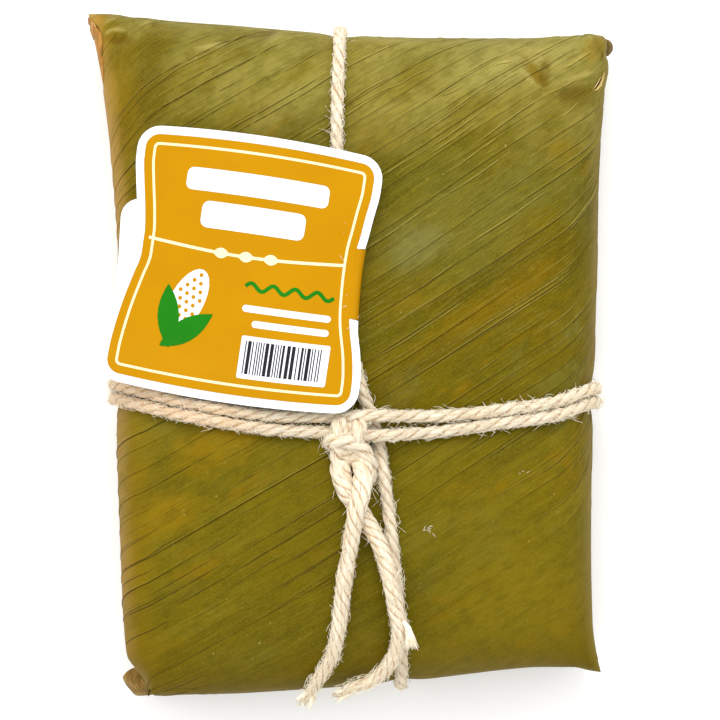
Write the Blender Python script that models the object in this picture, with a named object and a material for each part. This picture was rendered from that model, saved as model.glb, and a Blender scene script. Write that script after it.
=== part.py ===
"""Leaf-wrapped parcel lying flat, tied both ways with twine, with a folded card tag.

Sizes are in millimetres and become metres in the meshes. X is across the parcel,
Y is along it and Z is up. The floor is z = 0.
"""
import math

import bmesh
import bpy
from mathutils import Vector
from mathutils.bvhtree import BVHTree

MM = 0.001
GAP = 0.3

# Parcel: outline tables run over -1..1, the height is the guess in report.md
PARCEL_HEIGHT = 40.0
SEAM_HEIGHT = 17.0
SIDE_POWER = 4.5
END_POWER = 3.4
BASE_POWER = 6.0
BASE_SPREAD = 1.04
CELLS_ACROSS = 24
CELLS_ALONG = 34
LEFT_SIDE = [(-1, -58.5), (-0.93, -58.6), (-0.81, -59.3), (-0.51, -60.3), (-0.2, -61.1),
             (0.28, -60.8), (0.52, -62.1), (0.76, -64.5), (0.93, -67.2), (1, -68.6)]
RIGHT_SIDE = [(-1, 64.7), (-0.95, 63.7), (-0.84, 62.5), (-0.59, 62.1), (-0.24, 62.4),
              (0.16, 63.4), (0.54, 64.0), (0.82, 65.5), (0.93, 67.1), (1, 67.4)]
FAR_END = [(-1, 87.9), (-0.93, 88.2), (-0.77, 86.8), (-0.49, 85.0), (-0.09, 82.7),
           (0.19, 81.6), (0.47, 81.4), (0.75, 81.9), (0.95, 82.9), (1, 82.2)]
NEAR_END = [(-1, -88.9), (-0.93, -89.4), (-0.64, -88.9), (-0.22, -87.4), (0.2, -85.3),
            (0.54, -82.9), (0.79, -81.9), (1, -83.2)]

# Twine: routes are (along, across) and lifts are (along, centre above the leaf)
TWINE_RADIUS = 1.5
TAIL_RADIUS = 2.0
TWINE_SIDES = 7
BASE_LIFT = -(TWINE_RADIUS + 0.2)
TOP_LIFT = 0.75
LONG_TOP = [(-85.3, 12.7), (-74.9, 13.0), (-64.5, 12.0), (-51.5, 10.7), (-38.5, 9.1),
            (-25.5, 7.3), (-16.4, 5.0), (-8.6, 2.2), (8, -1.1), (26, -2.4), (40, -3.2),
            (55.9, -3.9), (85, -3.1)]
LONG_BASE = [(-85.3, 12.7), (85, -3.1)]
LONG_LIFT = [(-60, TOP_LIFT), (-30, TOP_LIFT), (-24, 0.4), (-15, 0.4), (-7, 2.85),
             (10, 2.95), (26, 3.2), (38, 3.4), (60, TOP_LIFT), (70, TOP_LIFT)]
CROSS_TOP = [(-61.2, -10.1), (-39.5, -15.4), (-16.1, -18.5), (-0.5, -18.7), (5.2, -19.0),
             (20.3, -18.7), (38.5, -16.7), (51.5, -14.9), (61.4, -11.2)]
CROSS_BASE = [(-58, -10.1), (58, -11.2)]
CROSS_SPLIT = [(-61, 3.7), (-39.5, 3.4), (-16, 3.7), (-0.5, 4.3), (5.2, 5.2), (20.3, 4.2),
               (38.5, 3.4), (61, 3.4)]
CROSS_LIFT = [(-40, TOP_LIFT), (-9, TOP_LIFT), (-1.8, 1.6), (2.6, 3.9), (9.4, 3.9), (14, 2.2),
              (21, TOP_LIFT), (40, TOP_LIFT)]
UNDERPASS_AT = -10.6
UNDERPASS_DEPTH = 3.4

# Tails: (x, y) routes from the knot, with the height of the free end
TAIL_LEFT = [(2.2, -27.9), (2.9, -30.6), (2.6, -35.4), (1.3, -40.6), (0.3, -45.8),
             (-0.5, -51.0), (-1.8, -58.0), (-2.6, -64.5), (-3.6, -71.0), (-5.7, -77.5),
             (-9.1, -84.0), (-12.7, -91.3)]
TAIL_LEFT_END = 27.0
TAIL_RIGHT = [(-2.7, -27.9), (-2.9, -30.9), (-1.3, -35.9), (1.6, -40.0), (4.7, -45.0),
              (7.3, -50.2), (9.4, -56.7), (10.9, -64.5), (12.2, -72.3), (10.7, -78.8),
              (6.8, -83.2), (0.8, -86.6), (-4.9, -89.0)]
TAIL_RIGHT_END = 29.0

# Knot: two turns over the lower cross strand and a collar beside them
KNOT_TURNS_AT = (-1.8, 2.5)
KNOT_RADIUS = 1.4
COLLAR_RADIUS = 1.7
COLLAR_Y = -25.0
COLLAR_X = (-3.4, 5.2)

# Tag: each panel's own frame is turned clockwise and moved to its centre
CARD = 0.45
TAG_BASE = 40.8
TAG_FALL = 0.0005
TAG_OPENING = 4.05
TAG_REST = 1.1
FRONT_CENTRE = (-27.8, 21.3)
FRONT_TURN = 8.4
FRONT_CORNER = 5.5
FRONT_ARCH = 1.7
FRONT_ROWS = [-33.0, -32.3, -30.3, -27.5, -22, -15, -9.2, -8.6, -2.6, 3.4, 9.4, 10.0, 16, 22,
              27.5, 30.3, 32.3, 33.0]
FRONT_LEFT = [(-33, -33.8), (-24.6, -33.6), (-19.1, -33.0), (-12.6, -31.9), (-5.3, -30.2),
              (0.2, -28.9), (5.6, -28.9), (10.9, -29.5), (18.8, -30.9), (25, -31.8), (33, -31.9)]
FRONT_RIGHT = [(-33, 33.9), (-25.4, 33.9), (-20, 33.3), (-16.5, 32.6), (-12.3, 31.5),
               (-8.6, 30.8), (-4.5, 30.4), (4.2, 30.0), (9.4, 30.1), (12.1, 30.5),
               (18.3, 31.2), (24.2, 31.9), (33, 31.9)]
HINGE_ROWS = (-8.6, -2.6, 3.4, 9.4)
BACK_CENTRE = (-29.1, 19.1)
BACK_TURN = 3.3
BACK_HALF = (31.4, 19.0)
BACK_CORNER = 5.0
BACK_ROWS = [-19.0, -18.3, -16.5, -14.0, -9.6, -9.0, -3.0, 3.0, 9.0, 9.6, 14.0, 16.5, 18.3, 19.0]
BACK_HINGE_ROWS = (-9.0, -3.0, 3.0, 9.0)
CARD_COLUMNS = 9
HINGE_STEPS = 6


def lerp(a, b, t):
    return a + (b - a) * t


def smooth(t):
    t = min(max(t, 0.0), 1.0)
    return t * t * (3 - 2 * t)


def read_table(rows, x):
    """Smooth value at x through the (x, value) rows, held level past both ends."""
    if x <= rows[0][0]:
        return rows[0][1]
    if x >= rows[-1][0]:
        return rows[-1][1]
    k = max(i for i in range(len(rows) - 1) if rows[i][0] <= x)

    def rise(i):
        return (rows[i + 1][1] - rows[i][1]) / (rows[i + 1][0] - rows[i][0])

    def slope(i):
        if i == 0 or i == len(rows) - 1:
            return rise(min(i, len(rows) - 2))
        before, after = rise(i - 1), rise(i)
        return 2 * before * after / (before + after) if before * after > 0 else 0.0

    width = rows[k + 1][0] - rows[k][0]
    t = (x - rows[k][0]) / width
    start = rows[k][1] * (1 + 2 * t) * (1 - t) ** 2 + slope(k) * width * t * (1 - t) ** 2
    end = rows[k + 1][1] * (3 - 2 * t) * t * t - slope(k + 1) * width * t * t * (1 - t)
    return start + end


def spline(points, step):
    """Points about one step apart on a smooth curve through the given points."""
    line = []
    count = len(points)
    for i in range(count - 1):
        a, b, c, d = [Vector(points[min(max(i + k, 0), count - 1)]) for k in (-1, 0, 1, 2)]
        parts = max(1, round((c - b).length / step))
        for j in range(parts):
            t = j / parts
            line.append(0.5 * (2 * b + (c - a) * t + (2 * a - 5 * b + 4 * c - d) * t * t
                               + (3 * b - a - 3 * c + d) * t ** 3))
    line.append(Vector(points[-1]))
    return line


def material(name, colour, roughness):
    made = bpy.data.materials.new(name)
    made.use_nodes = True
    shader = made.node_tree.nodes["Principled BSDF"]
    shader.inputs["Base Color"].default_value = (*colour, 1)
    shader.inputs["Roughness"].default_value = roughness
    shader.inputs["Metallic"].default_value = 0.0
    return made


def add_mesh(name, points, faces, look, triangles=True):
    """Closed or open mesh object from points in millimetres."""
    data = bpy.data.meshes.new(name)
    data.from_pydata([Vector(p) * MM for p in points], [], faces)
    work = bmesh.new()
    work.from_mesh(data)
    bmesh.ops.remove_doubles(work, verts=work.verts, dist=1e-7)
    bmesh.ops.recalc_face_normals(work, faces=work.faces)
    if triangles:
        bmesh.ops.triangulate(work, faces=work.faces)
    work.to_mesh(data)
    work.free()
    data.materials.append(look)
    thing = bpy.data.objects.new(name, data)
    bpy.context.scene.collection.objects.link(thing)
    return thing


def ring_faces(rings, size, closed):
    """Quads between neighbouring rings of points, with end caps when open."""
    faces = []
    for k in range(rings if closed else rings - 1):
        for j in range(size):
            a, b = k * size, ((k + 1) % rings) * size
            faces.append((a + j, a + (j + 1) % size, b + (j + 1) % size, b + j))
    if not closed:
        faces.append(tuple(range(size)))
        faces.append(tuple((rings - 1) * size + j for j in range(size)))
    return faces


def parcel_point(u, v, top):
    """Point of the wrapping for -1..1 across and along, on its top or base sheet."""
    x = lerp(read_table(LEFT_SIDE, v), read_table(RIGHT_SIDE, v), (u + 1) / 2)
    y = lerp(read_table(NEAR_END, u), read_table(FAR_END, u), (v + 1) / 2)

    def bulge(across, along):
        return ((1 - abs(u) ** across) ** (1 / across)) * ((1 - abs(v) ** along) ** (1 / along))

    if top:
        z = lerp(SEAM_HEIGHT, PARCEL_HEIGHT, bulge(SIDE_POWER, END_POWER))
    else:
        z = SEAM_HEIGHT * (1 - min(1.0, BASE_SPREAD * bulge(BASE_POWER, BASE_POWER)))
    return (x, y, z)


def parcel_mesh():
    """Points and faces of the whole wrapping, closer together towards its edges."""
    points, faces = [], []
    width, length = CELLS_ACROSS + 1, CELLS_ALONG + 1
    for top in (True, False):
        base = len(points)
        for j in range(length):
            for i in range(width):
                u = math.sin(math.pi * (i / CELLS_ACROSS - 0.5))
                v = math.sin(math.pi * (j / CELLS_ALONG - 0.5))
                points.append(parcel_point(u, v, top))
        for j in range(length - 1):
            for i in range(width - 1):
                a = base + j * width + i
                faces.append((a, a + 1, a + width + 1, a + width))
    return points, faces


def taut_section(skin, top, base, lengthwise):
    """Closed convex loop round the parcel: dense list of (position, outward normal)."""
    centre_z = SEAM_HEIGHT + 1.3

    def place(s, z):
        across = lerp(read_table(base, s), read_table(top, s), smooth((z - 6) / 22))
        return Vector((across, s, z)) if lengthwise else Vector((s, across, z))

    hits = []
    s, z = 60.0, centre_z
    for k in range(360):
        out = Vector((math.cos(math.radians(k + 0.4)), math.sin(math.radians(k + 0.4))))
        for _ in range(3):
            start = place(s, z)
            start[1 if lengthwise else 0] = out.x * 200
            start.z = centre_z + out.y * 200
            ray = Vector((0, -out.x, -out.y)) if lengthwise else Vector((-out.x, 0, -out.y))
            hit = skin.ray_cast(start, ray)[0]
            s, z = hit[1 if lengthwise else 0], hit.z
        hits.append((s, z))

    hits.sort()
    hull = []
    for order in (hits, hits[::-1]):
        side = []
        for p in order:
            while len(side) > 1 and ((side[-1][0] - side[-2][0]) * (p[1] - side[-2][1])
                                     - (side[-1][1] - side[-2][1]) * (p[0] - side[-2][0])) <= 0:
                side.pop()
            side.append(p)
        hull += side[:-1]

    dense = []
    for k, here in enumerate(hull):
        after = hull[(k + 1) % len(hull)]
        parts = max(1, round(math.dist(here, after)))
        dense += [(lerp(here[0], after[0], j / parts), lerp(here[1], after[1], j / parts))
                  for j in range(parts)]
    loop = []
    for k, (s, z) in enumerate(dense):
        before, after = dense[k - 2], dense[(k + 2) % len(dense)]
        turn = Vector((after[1] - before[1], before[0] - after[0])).normalized()
        normal = (0, turn.x, turn.y) if lengthwise else (turn.x, 0, turn.y)
        loop.append((place(s, z), Vector(normal), s, z))
    return loop


def stations(loop, lifts, underpass):
    """Centre, outward and sideways directions along a strand, thinned on its straights."""
    path = []
    for place, normal, s, z in loop:
        lift = lerp(BASE_LIFT, read_table(lifts, s), smooth((z - 1) / 13))
        if z < SEAM_HEIGHT:
            lift = lerp(BASE_LIFT, TOP_LIFT, smooth((z - 1) / 13))
            if underpass:
                lift -= UNDERPASS_DEPTH * smooth((14 - abs(s - UNDERPASS_AT)) / 9)
        path.append((place + normal * lift, normal))
    for _ in range(3):
        path = [((path[k - 1][0] + 2 * path[k][0] + path[(k + 1) % len(path)][0]) / 4, path[k][1])
                for k in range(len(path))]

    kept = [0]
    for k in range(1, len(path)):
        last = kept[-1]
        far = (path[k][0] - path[last][0]).length
        turned = path[k][1].angle(path[last][1])
        bend = 0.0
        if k - last > 1:
            bend = (path[k][0] - path[k - 1][0]).angle(path[last + 1][0] - path[last][0])
        if far > 7.5 or turned > 0.24 or bend > 0.2:
            kept.append(k)
    if (path[kept[-1]][0] - path[0][0]).length < 1.5:
        kept.pop()
    result = []
    for k in kept:
        along = (path[(k + 1) % len(path)][0] - path[k - 1][0]).normalized()
        side = along.cross(path[k][1]).normalized()
        result.append((path[k][0], side.cross(along).normalized(), side))
    return result


def strand(name, stops, look, shift=0.0, split=None):
    """Closed loop of twine along the stations, moved sideways by part of their split."""
    points, centres = [], []
    for centre, out, side in stops:
        width = read_table(split, centre.x) if split and centre.z > SEAM_HEIGHT else 3.6
        centre = centre + side * shift * width
        centres.append(centre)
        for j in range(TWINE_SIDES):
            a = math.tau * (j + 0.5) / TWINE_SIDES
            points.append(centre + (out * math.cos(a) + side * math.sin(a)) * TWINE_RADIUS)
    made = add_mesh(name, points, ring_faces(len(stops), TWINE_SIDES, True), look)
    return made, centres


def channel(name, stops, look, split=None):
    """Cutter for the groove that one strand, or a pair of them, presses into the leaf."""
    room = TWINE_RADIUS + GAP
    points = []
    for centre, out, side in stops:
        half = 0.0
        if split:
            half = (read_table(split, centre.x) if centre.z > SEAM_HEIGHT else 3.6) / 2
        edge = half + room
        profile = [(-edge, 9.0), (-edge, 0.0), (-half - 0.7 * room, -0.7 * room),
                   (-half - 0.05, -room), (half + 0.05, -room),
                   (half + 0.7 * room, -0.7 * room), (edge, 0.0), (edge, 9.0)]
        points += [centre + side * a + out * b for a, b in profile]
    made = add_mesh(name, points, ring_faces(len(stops), 8, True), look)
    made.hide_render = True
    made.display_type = "WIRE"
    return made


def nearest_on(line, p):
    """Closest point of a polyline to p."""
    best = None
    for a, b in zip(line, line[1:]):
        t = min(max((p - a).dot(b - a) / max((b - a).length_squared, 1e-9), 0.0), 1.0)
        q = a.lerp(b, t)
        if best is None or (p - q).length < (p - best).length:
            best = q
    return best


def lay(route, end_height, skin, others):
    """Rest a tail's centre line on the parcel and over the strands that it crosses."""
    clear = TAIL_RADIUS + GAP
    line = spline([(x, y, 0) for x, y in route], 3.0)
    for p in line:
        hit = skin.ray_cast(Vector((p.x, p.y, 99)), Vector((0, 0, -1)))[0]
        p.z = hit.z + clear if hit else end_height
    line[-1].z = end_height
    for _ in range(60):
        for k in range(1, len(line) - 1):
            line[k].z = (line[k - 1].z + 2 * line[k].z + line[k + 1].z) / 4
        for p in line[:-1]:
            near, normal, _, _ = skin.find_nearest(p)
            height = (p - near).dot(normal)
            if height < clear:
                p += normal * (clear - height)
            for other, distance in others:
                q = nearest_on(other, p)
                if (p - q).length < distance:
                    flat = min(math.hypot(p.x - q.x, p.y - q.y), distance)
                    p.z = q.z + math.sqrt(distance ** 2 - flat ** 2)
    return line


def tail(name, line, look):
    """Round cord along a centre line, with flat ends."""
    curve = bpy.data.curves.new(name, "CURVE")
    curve.dimensions = "3D"
    curve.bevel_depth = TAIL_RADIUS * MM
    curve.bevel_resolution = 2
    curve.use_fill_caps = True
    part = curve.splines.new("POLY")
    part.points.add(len(line) - 1)
    for k, p in enumerate(line):
        part.points[k].co = (*(p * MM), 1)
    curve.materials.append(look)
    made = bpy.data.objects.new(name, curve)
    bpy.context.scene.collection.objects.link(made)
    return made


def rod(name, line, radius, look, sides=10):
    """Capped round bar through a list of points."""
    points = []
    for k, p in enumerate(line):
        along = (line[min(k + 1, len(line) - 1)] - line[max(k - 1, 0)]).normalized()
        side = along.cross(Vector((0.2, 0.1, 1))).normalized()
        up = side.cross(along)
        for j in range(sides):
            a = math.tau * j / sides
            points.append(p + (side * math.cos(a) + up * math.sin(a)) * radius)
    return add_mesh(name, points, ring_faces(len(line), sides, False), look)


def build_knot(lower, skin, look):
    """Collar with two turns over the lower cross strand, as one solid."""
    height = skin.ray_cast(Vector((0, COLLAR_Y, 99)), Vector((0, 0, -1)))[0].z
    level = height + COLLAR_RADIUS + GAP + 0.1
    line = [Vector((lerp(*COLLAR_X, t), COLLAR_Y, level)) for t in (0, 0.25, 0.5, 0.75, 1)]
    knot = rod("knot", line, COLLAR_RADIUS, look)
    reach = TWINE_RADIUS + GAP + 0.1 + KNOT_RADIUS
    for number, x in enumerate(KNOT_TURNS_AT):
        centre = min((p for p in lower if p.z > SEAM_HEIGHT), key=lambda p: abs(p.x - x))
        before = [p for p in lower if p.z > SEAM_HEIGHT and p.x <= x]
        after = [p for p in lower if p.z > SEAM_HEIGHT and p.x > x]
        a, b = max(before, key=lambda p: p.x), min(after, key=lambda p: p.x)
        centre = a.lerp(b, (x - a.x) / (b.x - a.x))
        line = []
        for k in range(8):
            angle = math.radians(lerp(-25, 78, k / 7))
            line.append(centre + Vector((0, -math.sin(angle), math.cos(angle))) * reach)
        line.append(Vector((x, COLLAR_Y - 0.4, level)))
        turn = rod("knot_turn_%d" % number, line, KNOT_RADIUS, look)
        turn.hide_render = True
        turn.display_type = "WIRE"
        join = knot.modifiers.new("join_%d" % number, "BOOLEAN")
        join.operation = "UNION"
        join.object = turn
    return knot


def turned(centre, degrees, x, y):
    """World x and y of a point in a panel's own frame."""
    a = math.radians(degrees)
    return (centre[0] + x * math.cos(a) + y * math.sin(a),
            centre[1] - x * math.sin(a) + y * math.cos(a))


def corner_inset(y, half, radius):
    """How far a rounded corner pulls a side in at height y."""
    depth = radius - (half - abs(y))
    if depth <= 0:
        return 0.0
    return radius - math.sqrt(max(radius ** 2 - depth ** 2, 0.0))


def back_height(x):
    return TAG_BASE - TAG_FALL * x * x


def front_height(x, y):
    """Front panel: high over the strand, down to the back panel, up over the cross strand."""
    open_part = smooth((x + 38) / 34)
    prop = 1.3 * smooth((-y - 18) / 14) * (1 - 0.6 * open_part)
    return back_height(x) + TAG_REST + (TAG_OPENING - TAG_REST) * open_part + prop


def build_tag(look):
    """Folded card: printed panel in front, strip round the strand, plain panel behind."""
    points, faces, front_edge, back_edge = [], [], [], []
    steps = [k / (CARD_COLUMNS - 1) for k in range(CARD_COLUMNS)]
    fold = TAG_OPENING / 2

    for row, y in enumerate(FRONT_ROWS):
        inset = corner_inset(y, 33.0, FRONT_CORNER)
        low = read_table(FRONT_LEFT, y) + inset
        high = read_table(FRONT_RIGHT, y) - inset - (fold if y in HINGE_ROWS else 0)
        for t in steps:
            x = lerp(low, high, t)
            arch = FRONT_ARCH * (1 - (x / 32) ** 2) * y / 33
            place = turned(FRONT_CENTRE, FRONT_TURN, x, y + arch)
            points.append((*place, front_height(place[0], y)))
        if y in HINGE_ROWS:
            front_edge.append(len(points) - 1)
        if row:
            faces += strip_faces(len(points) - 2 * CARD_COLUMNS)

    for row, y in enumerate(BACK_ROWS):
        inset = corner_inset(y, BACK_HALF[1], BACK_CORNER)
        first = turned(BACK_CENTRE, BACK_TURN, -BACK_HALF[0] + inset, y)
        last = turned(BACK_CENTRE, BACK_TURN, BACK_HALF[0] - inset, y)
        if y in BACK_HINGE_ROWS:
            last = points[front_edge[BACK_HINGE_ROWS.index(y)]][:2]
        for t in steps:
            x, z = lerp(first[0], last[0], t), lerp(first[1], last[1], t)
            points.append((x, z, back_height(x)))
        if y in BACK_HINGE_ROWS:
            back_edge.append(len(points) - 1)
        if row:
            faces += strip_faces(len(points) - 2 * CARD_COLUMNS)

    out = Vector((math.cos(math.radians(5.8)), -math.sin(math.radians(5.8)), 0))
    rows = []
    for top, low in zip(front_edge, back_edge):
        a, b = Vector(points[top]), Vector(points[low])
        middle, half = (a + b) / 2, (a.z - b.z) / 2
        row = [top]
        for k in range(1, HINGE_STEPS):
            angle = math.pi * k / HINGE_STEPS
            points.append(middle + out * half * math.sin(angle) + Vector((0, 0, half * math.cos(angle))))
            row.append(len(points) - 1)
        rows.append(row + [low])
    for here, after in zip(rows, rows[1:]):
        for k in range(HINGE_STEPS):
            faces.append((here[k], here[k + 1], after[k + 1], after[k]))

    tag = add_mesh("tag", points, faces, look, triangles=False)
    card = tag.modifiers.new("card", "SOLIDIFY")
    card.thickness = CARD * MM
    card.offset = 0
    return tag


def strip_faces(start):
    """Quads between two neighbouring rows of a panel."""
    return [(start + k, start + k + 1, start + CARD_COLUMNS + k + 1, start + CARD_COLUMNS + k)
            for k in range(CARD_COLUMNS - 1)]


def build():
    for thing in list(bpy.data.objects):
        bpy.data.objects.remove(thing)
    leaf_look = material("leaf", (0.216, 0.147, 0.012), 0.55)
    twine_look = material("twine", (0.84, 0.73, 0.56), 0.9)
    card_look = material("card", (0.82, 0.38, 0.02), 0.6)

    points, faces = parcel_mesh()
    parcel = add_mesh("leaf_parcel", points, faces, leaf_look)
    skin = BVHTree.FromPolygons([v.co / MM for v in parcel.data.vertices],
                                [tuple(f.vertices) for f in parcel.data.polygons])

    long_stops = stations(taut_section(skin, LONG_TOP, LONG_BASE, True), LONG_LIFT, True)
    cross_stops = stations(taut_section(skin, CROSS_TOP, CROSS_BASE, False), CROSS_LIFT, False)
    long_line = strand("twine_lengthwise", long_stops, twine_look)[1]
    top_stop = max(cross_stops, key=lambda stop: stop[0].z)
    sign = 1 if top_stop[2].y > 0 else -1
    strand("twine_cross_upper", cross_stops, twine_look, 0.5 * sign, CROSS_SPLIT)
    lower = strand("twine_cross_lower", cross_stops, twine_look, -0.5 * sign, CROSS_SPLIT)[1]

    for cutter in (channel("groove_lengthwise", long_stops, leaf_look),
                   channel("groove_cross", cross_stops, leaf_look, CROSS_SPLIT)):
        cut = parcel.modifiers.new(cutter.name, "BOOLEAN")
        cut.operation = "DIFFERENCE"
        cut.object = cutter

    build_knot(lower, skin, twine_look)
    top_line = [p for p in long_line if p.z > SEAM_HEIGHT]
    top_line.sort(key=lambda p: p.y)
    over_strand = TAIL_RADIUS + TWINE_RADIUS + GAP
    right = lay(TAIL_RIGHT, TAIL_RIGHT_END, skin, [(top_line, over_strand)])
    left = lay(TAIL_LEFT, TAIL_LEFT_END, skin,
               [(top_line, over_strand), (right, 2 * TAIL_RADIUS + GAP)])
    tail("tail_right", right, twine_look)
    tail("tail_left", left, twine_look)
    build_tag(card_look)


build()
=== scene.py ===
"""Looks of the leaf-wrapped tamale: leaf, twine, knot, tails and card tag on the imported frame.

Working sizes are in millimetres, as in the part's source, and become metres in the meshes.
"""
import math
import random

import bmesh
import bpy
import numpy as np
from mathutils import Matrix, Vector, noise
from mathutils.bvhtree import BVHTree
from mathutils.kdtree import KDTree

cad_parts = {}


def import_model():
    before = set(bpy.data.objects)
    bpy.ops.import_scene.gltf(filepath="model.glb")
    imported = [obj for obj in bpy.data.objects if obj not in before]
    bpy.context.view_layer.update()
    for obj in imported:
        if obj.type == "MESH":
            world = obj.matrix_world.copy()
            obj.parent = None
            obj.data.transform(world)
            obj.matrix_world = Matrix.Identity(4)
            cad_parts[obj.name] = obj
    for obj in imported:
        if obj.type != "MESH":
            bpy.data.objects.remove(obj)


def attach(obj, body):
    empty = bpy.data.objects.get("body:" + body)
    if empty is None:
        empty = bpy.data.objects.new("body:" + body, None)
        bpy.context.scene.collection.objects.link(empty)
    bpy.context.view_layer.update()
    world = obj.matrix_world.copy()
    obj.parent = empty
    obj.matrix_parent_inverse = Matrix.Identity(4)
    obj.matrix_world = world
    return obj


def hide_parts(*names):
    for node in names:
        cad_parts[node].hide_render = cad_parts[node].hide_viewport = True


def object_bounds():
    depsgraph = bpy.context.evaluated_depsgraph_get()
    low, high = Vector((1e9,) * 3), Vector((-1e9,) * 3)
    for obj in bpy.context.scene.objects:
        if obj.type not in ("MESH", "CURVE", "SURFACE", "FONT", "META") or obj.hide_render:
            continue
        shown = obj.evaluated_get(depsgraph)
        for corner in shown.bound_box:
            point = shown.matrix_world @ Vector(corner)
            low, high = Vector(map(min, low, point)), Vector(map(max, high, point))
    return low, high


MM = 0.001
GAP = 0.3

# Parcel outline and heights, as in the part's source
PARCEL_HEIGHT = 40.0
SEAM_HEIGHT = 17.0
SIDE_POWER = 4.5
END_POWER = 3.4
BASE_POWER = 6.0
BASE_SPREAD = 1.04
LEFT_SIDE = [(-1, -58.5), (-0.93, -58.6), (-0.81, -59.3), (-0.51, -60.3), (-0.2, -61.1),
             (0.28, -60.8), (0.52, -62.1), (0.76, -64.5), (0.93, -67.2), (1, -68.6)]
RIGHT_SIDE = [(-1, 64.7), (-0.95, 63.7), (-0.84, 62.5), (-0.59, 62.1), (-0.24, 62.4),
              (0.16, 63.4), (0.54, 64.0), (0.82, 65.5), (0.93, 67.1), (1, 67.4)]
FAR_END = [(-1, 87.9), (-0.93, 88.2), (-0.77, 86.8), (-0.49, 85.0), (-0.09, 82.7),
           (0.19, 81.6), (0.47, 81.4), (0.75, 81.9), (0.95, 82.9), (1, 82.2)]
NEAR_END = [(-1, -88.9), (-0.93, -89.4), (-0.64, -88.9), (-0.22, -87.4), (0.2, -85.3),
            (0.54, -82.9), (0.79, -81.9), (1, -83.2)]

# Twine routes, as in the part's source
TWINE_RADIUS = 1.5
TAIL_RADIUS = 2.0
BASE_LIFT = -(TWINE_RADIUS + 0.2)
TOP_LIFT = 0.75
LONG_TOP = [(-85.3, 12.7), (-74.9, 13.0), (-64.5, 12.0), (-51.5, 10.7), (-38.5, 9.1),
            (-25.5, 7.3), (-16.4, 5.0), (-8.6, 2.2), (8, -1.1), (26, -2.4), (40, -3.2),
            (55.9, -3.9), (85, -3.1)]
LONG_BASE = [(-85.3, 12.7), (85, -3.1)]
LONG_LIFT = [(-60, TOP_LIFT), (-30, TOP_LIFT), (-24, 0.4), (-15, 0.4), (-7, 2.85),
             (10, 2.95), (26, 3.2), (38, 3.4), (60, TOP_LIFT), (70, TOP_LIFT)]
CROSS_TOP = [(-61.2, -10.1), (-39.5, -15.4), (-16.1, -18.5), (-0.5, -18.7), (5.2, -19.0),
             (20.3, -18.7), (38.5, -16.7), (51.5, -14.9), (61.4, -11.2)]
CROSS_BASE = [(-58, -10.1), (58, -11.2)]
CROSS_SPLIT = [(-61, 3.7), (-39.5, 3.4), (-16, 3.7), (-0.5, 4.3), (5.2, 5.2), (20.3, 4.2),
               (38.5, 3.4), (61, 3.4)]
CROSS_LIFT = [(-40, TOP_LIFT), (-9, TOP_LIFT), (-1.8, 1.6), (2.6, 3.9), (9.4, 3.9), (14, 2.2),
              (21, TOP_LIFT), (40, TOP_LIFT)]
UNDERPASS_AT = -10.6
UNDERPASS_DEPTH = 3.4
TAIL_LEFT = [(2.2, -27.9), (2.9, -30.6), (2.6, -35.4), (1.3, -40.6), (0.3, -45.8),
             (-0.5, -51.0), (-1.8, -58.0), (-2.6, -64.5), (-3.6, -71.0), (-5.7, -77.5),
             (-9.1, -84.0), (-12.7, -91.3)]
TAIL_LEFT_END = 27.0
TAIL_RIGHT = [(-2.7, -27.9), (-2.9, -30.9), (-1.3, -35.9), (1.6, -40.0), (4.7, -45.0),
              (7.3, -50.2), (9.4, -56.7), (10.9, -64.5), (12.2, -72.3), (10.7, -78.8),
              (6.8, -83.2), (0.8, -86.6), (-4.9, -89.0)]
TAIL_RIGHT_END = 29.0

# Tag, as in the part's source
CARD = 0.45
TAG_BASE = 40.8
TAG_FALL = 0.0005
TAG_OPENING = 4.05
TAG_REST = 1.1
FRONT_CENTRE = (-27.8, 21.3)
FRONT_TURN = 8.4
FRONT_HALF = 33.0
FRONT_CORNER = 5.5
FRONT_ARCH = 1.7
FRONT_LEFT = [(-33, -33.8), (-24.6, -33.6), (-19.1, -33.0), (-12.6, -31.9), (-5.3, -30.2),
              (0.2, -28.9), (5.6, -28.9), (10.9, -29.5), (18.8, -30.9), (25, -31.8), (33, -31.9)]
FRONT_RIGHT = [(-33, 33.9), (-25.4, 33.9), (-20, 33.3), (-16.5, 32.6), (-12.3, 31.5),
               (-8.6, 30.8), (-4.5, 30.4), (4.2, 30.0), (9.4, 30.1), (12.1, 30.5),
               (18.3, 31.2), (24.2, 31.9), (33, 31.9)]
FRONT_HINGE = (-8.6, 9.4)
BACK_CENTRE = (-29.1, 19.1)
BACK_TURN = 3.3
BACK_HALF = (31.4, 19.0)
BACK_CORNER = 5.0
BACK_HINGE = (-9.0, 9.0)
FOLD_TURN = 5.8

# Leaf relief: the veins' angle, how far from the middle they roll over on both sides, and the
# pleats as (distance across the veins, strength)
VEIN_ANGLE = 31.0
ROLL_RIGHT = 51.0
ROLL_LEFT = 55.0
PLEATS = [(-12.0, 1.0), (-17.6, 1.0), (-23.0, 0.9), (-27.2, 0.6), (-31.0, 0.7), (-35.5, 0.4),
          (-6.5, 0.6), (-1.8, 0.7), (2.6, 0.8), (7.4, 0.7), (11.2, 0.9), (15.8, 0.5),
          (20.4, 0.8), (25.0, 0.6), (29.5, 0.7), (33.6, 0.5), (38.2, 0.7), (43.0, 0.5),
          (47.5, 0.6), (52.6, 0.4), (57.0, 0.6), (62.4, 0.5), (68.0, 0.5), (74.0, 0.4),
          (-40.2, 0.5), (-44.6, 0.6), (-49.8, 0.4), (-55.0, 0.5), (-61.0, 0.4), (-67.0, 0.5),
          (-73.5, 0.4), (-80.0, 0.4), (80.5, 0.4), (87.0, 0.3)]
PLEATS.sort()

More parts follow.
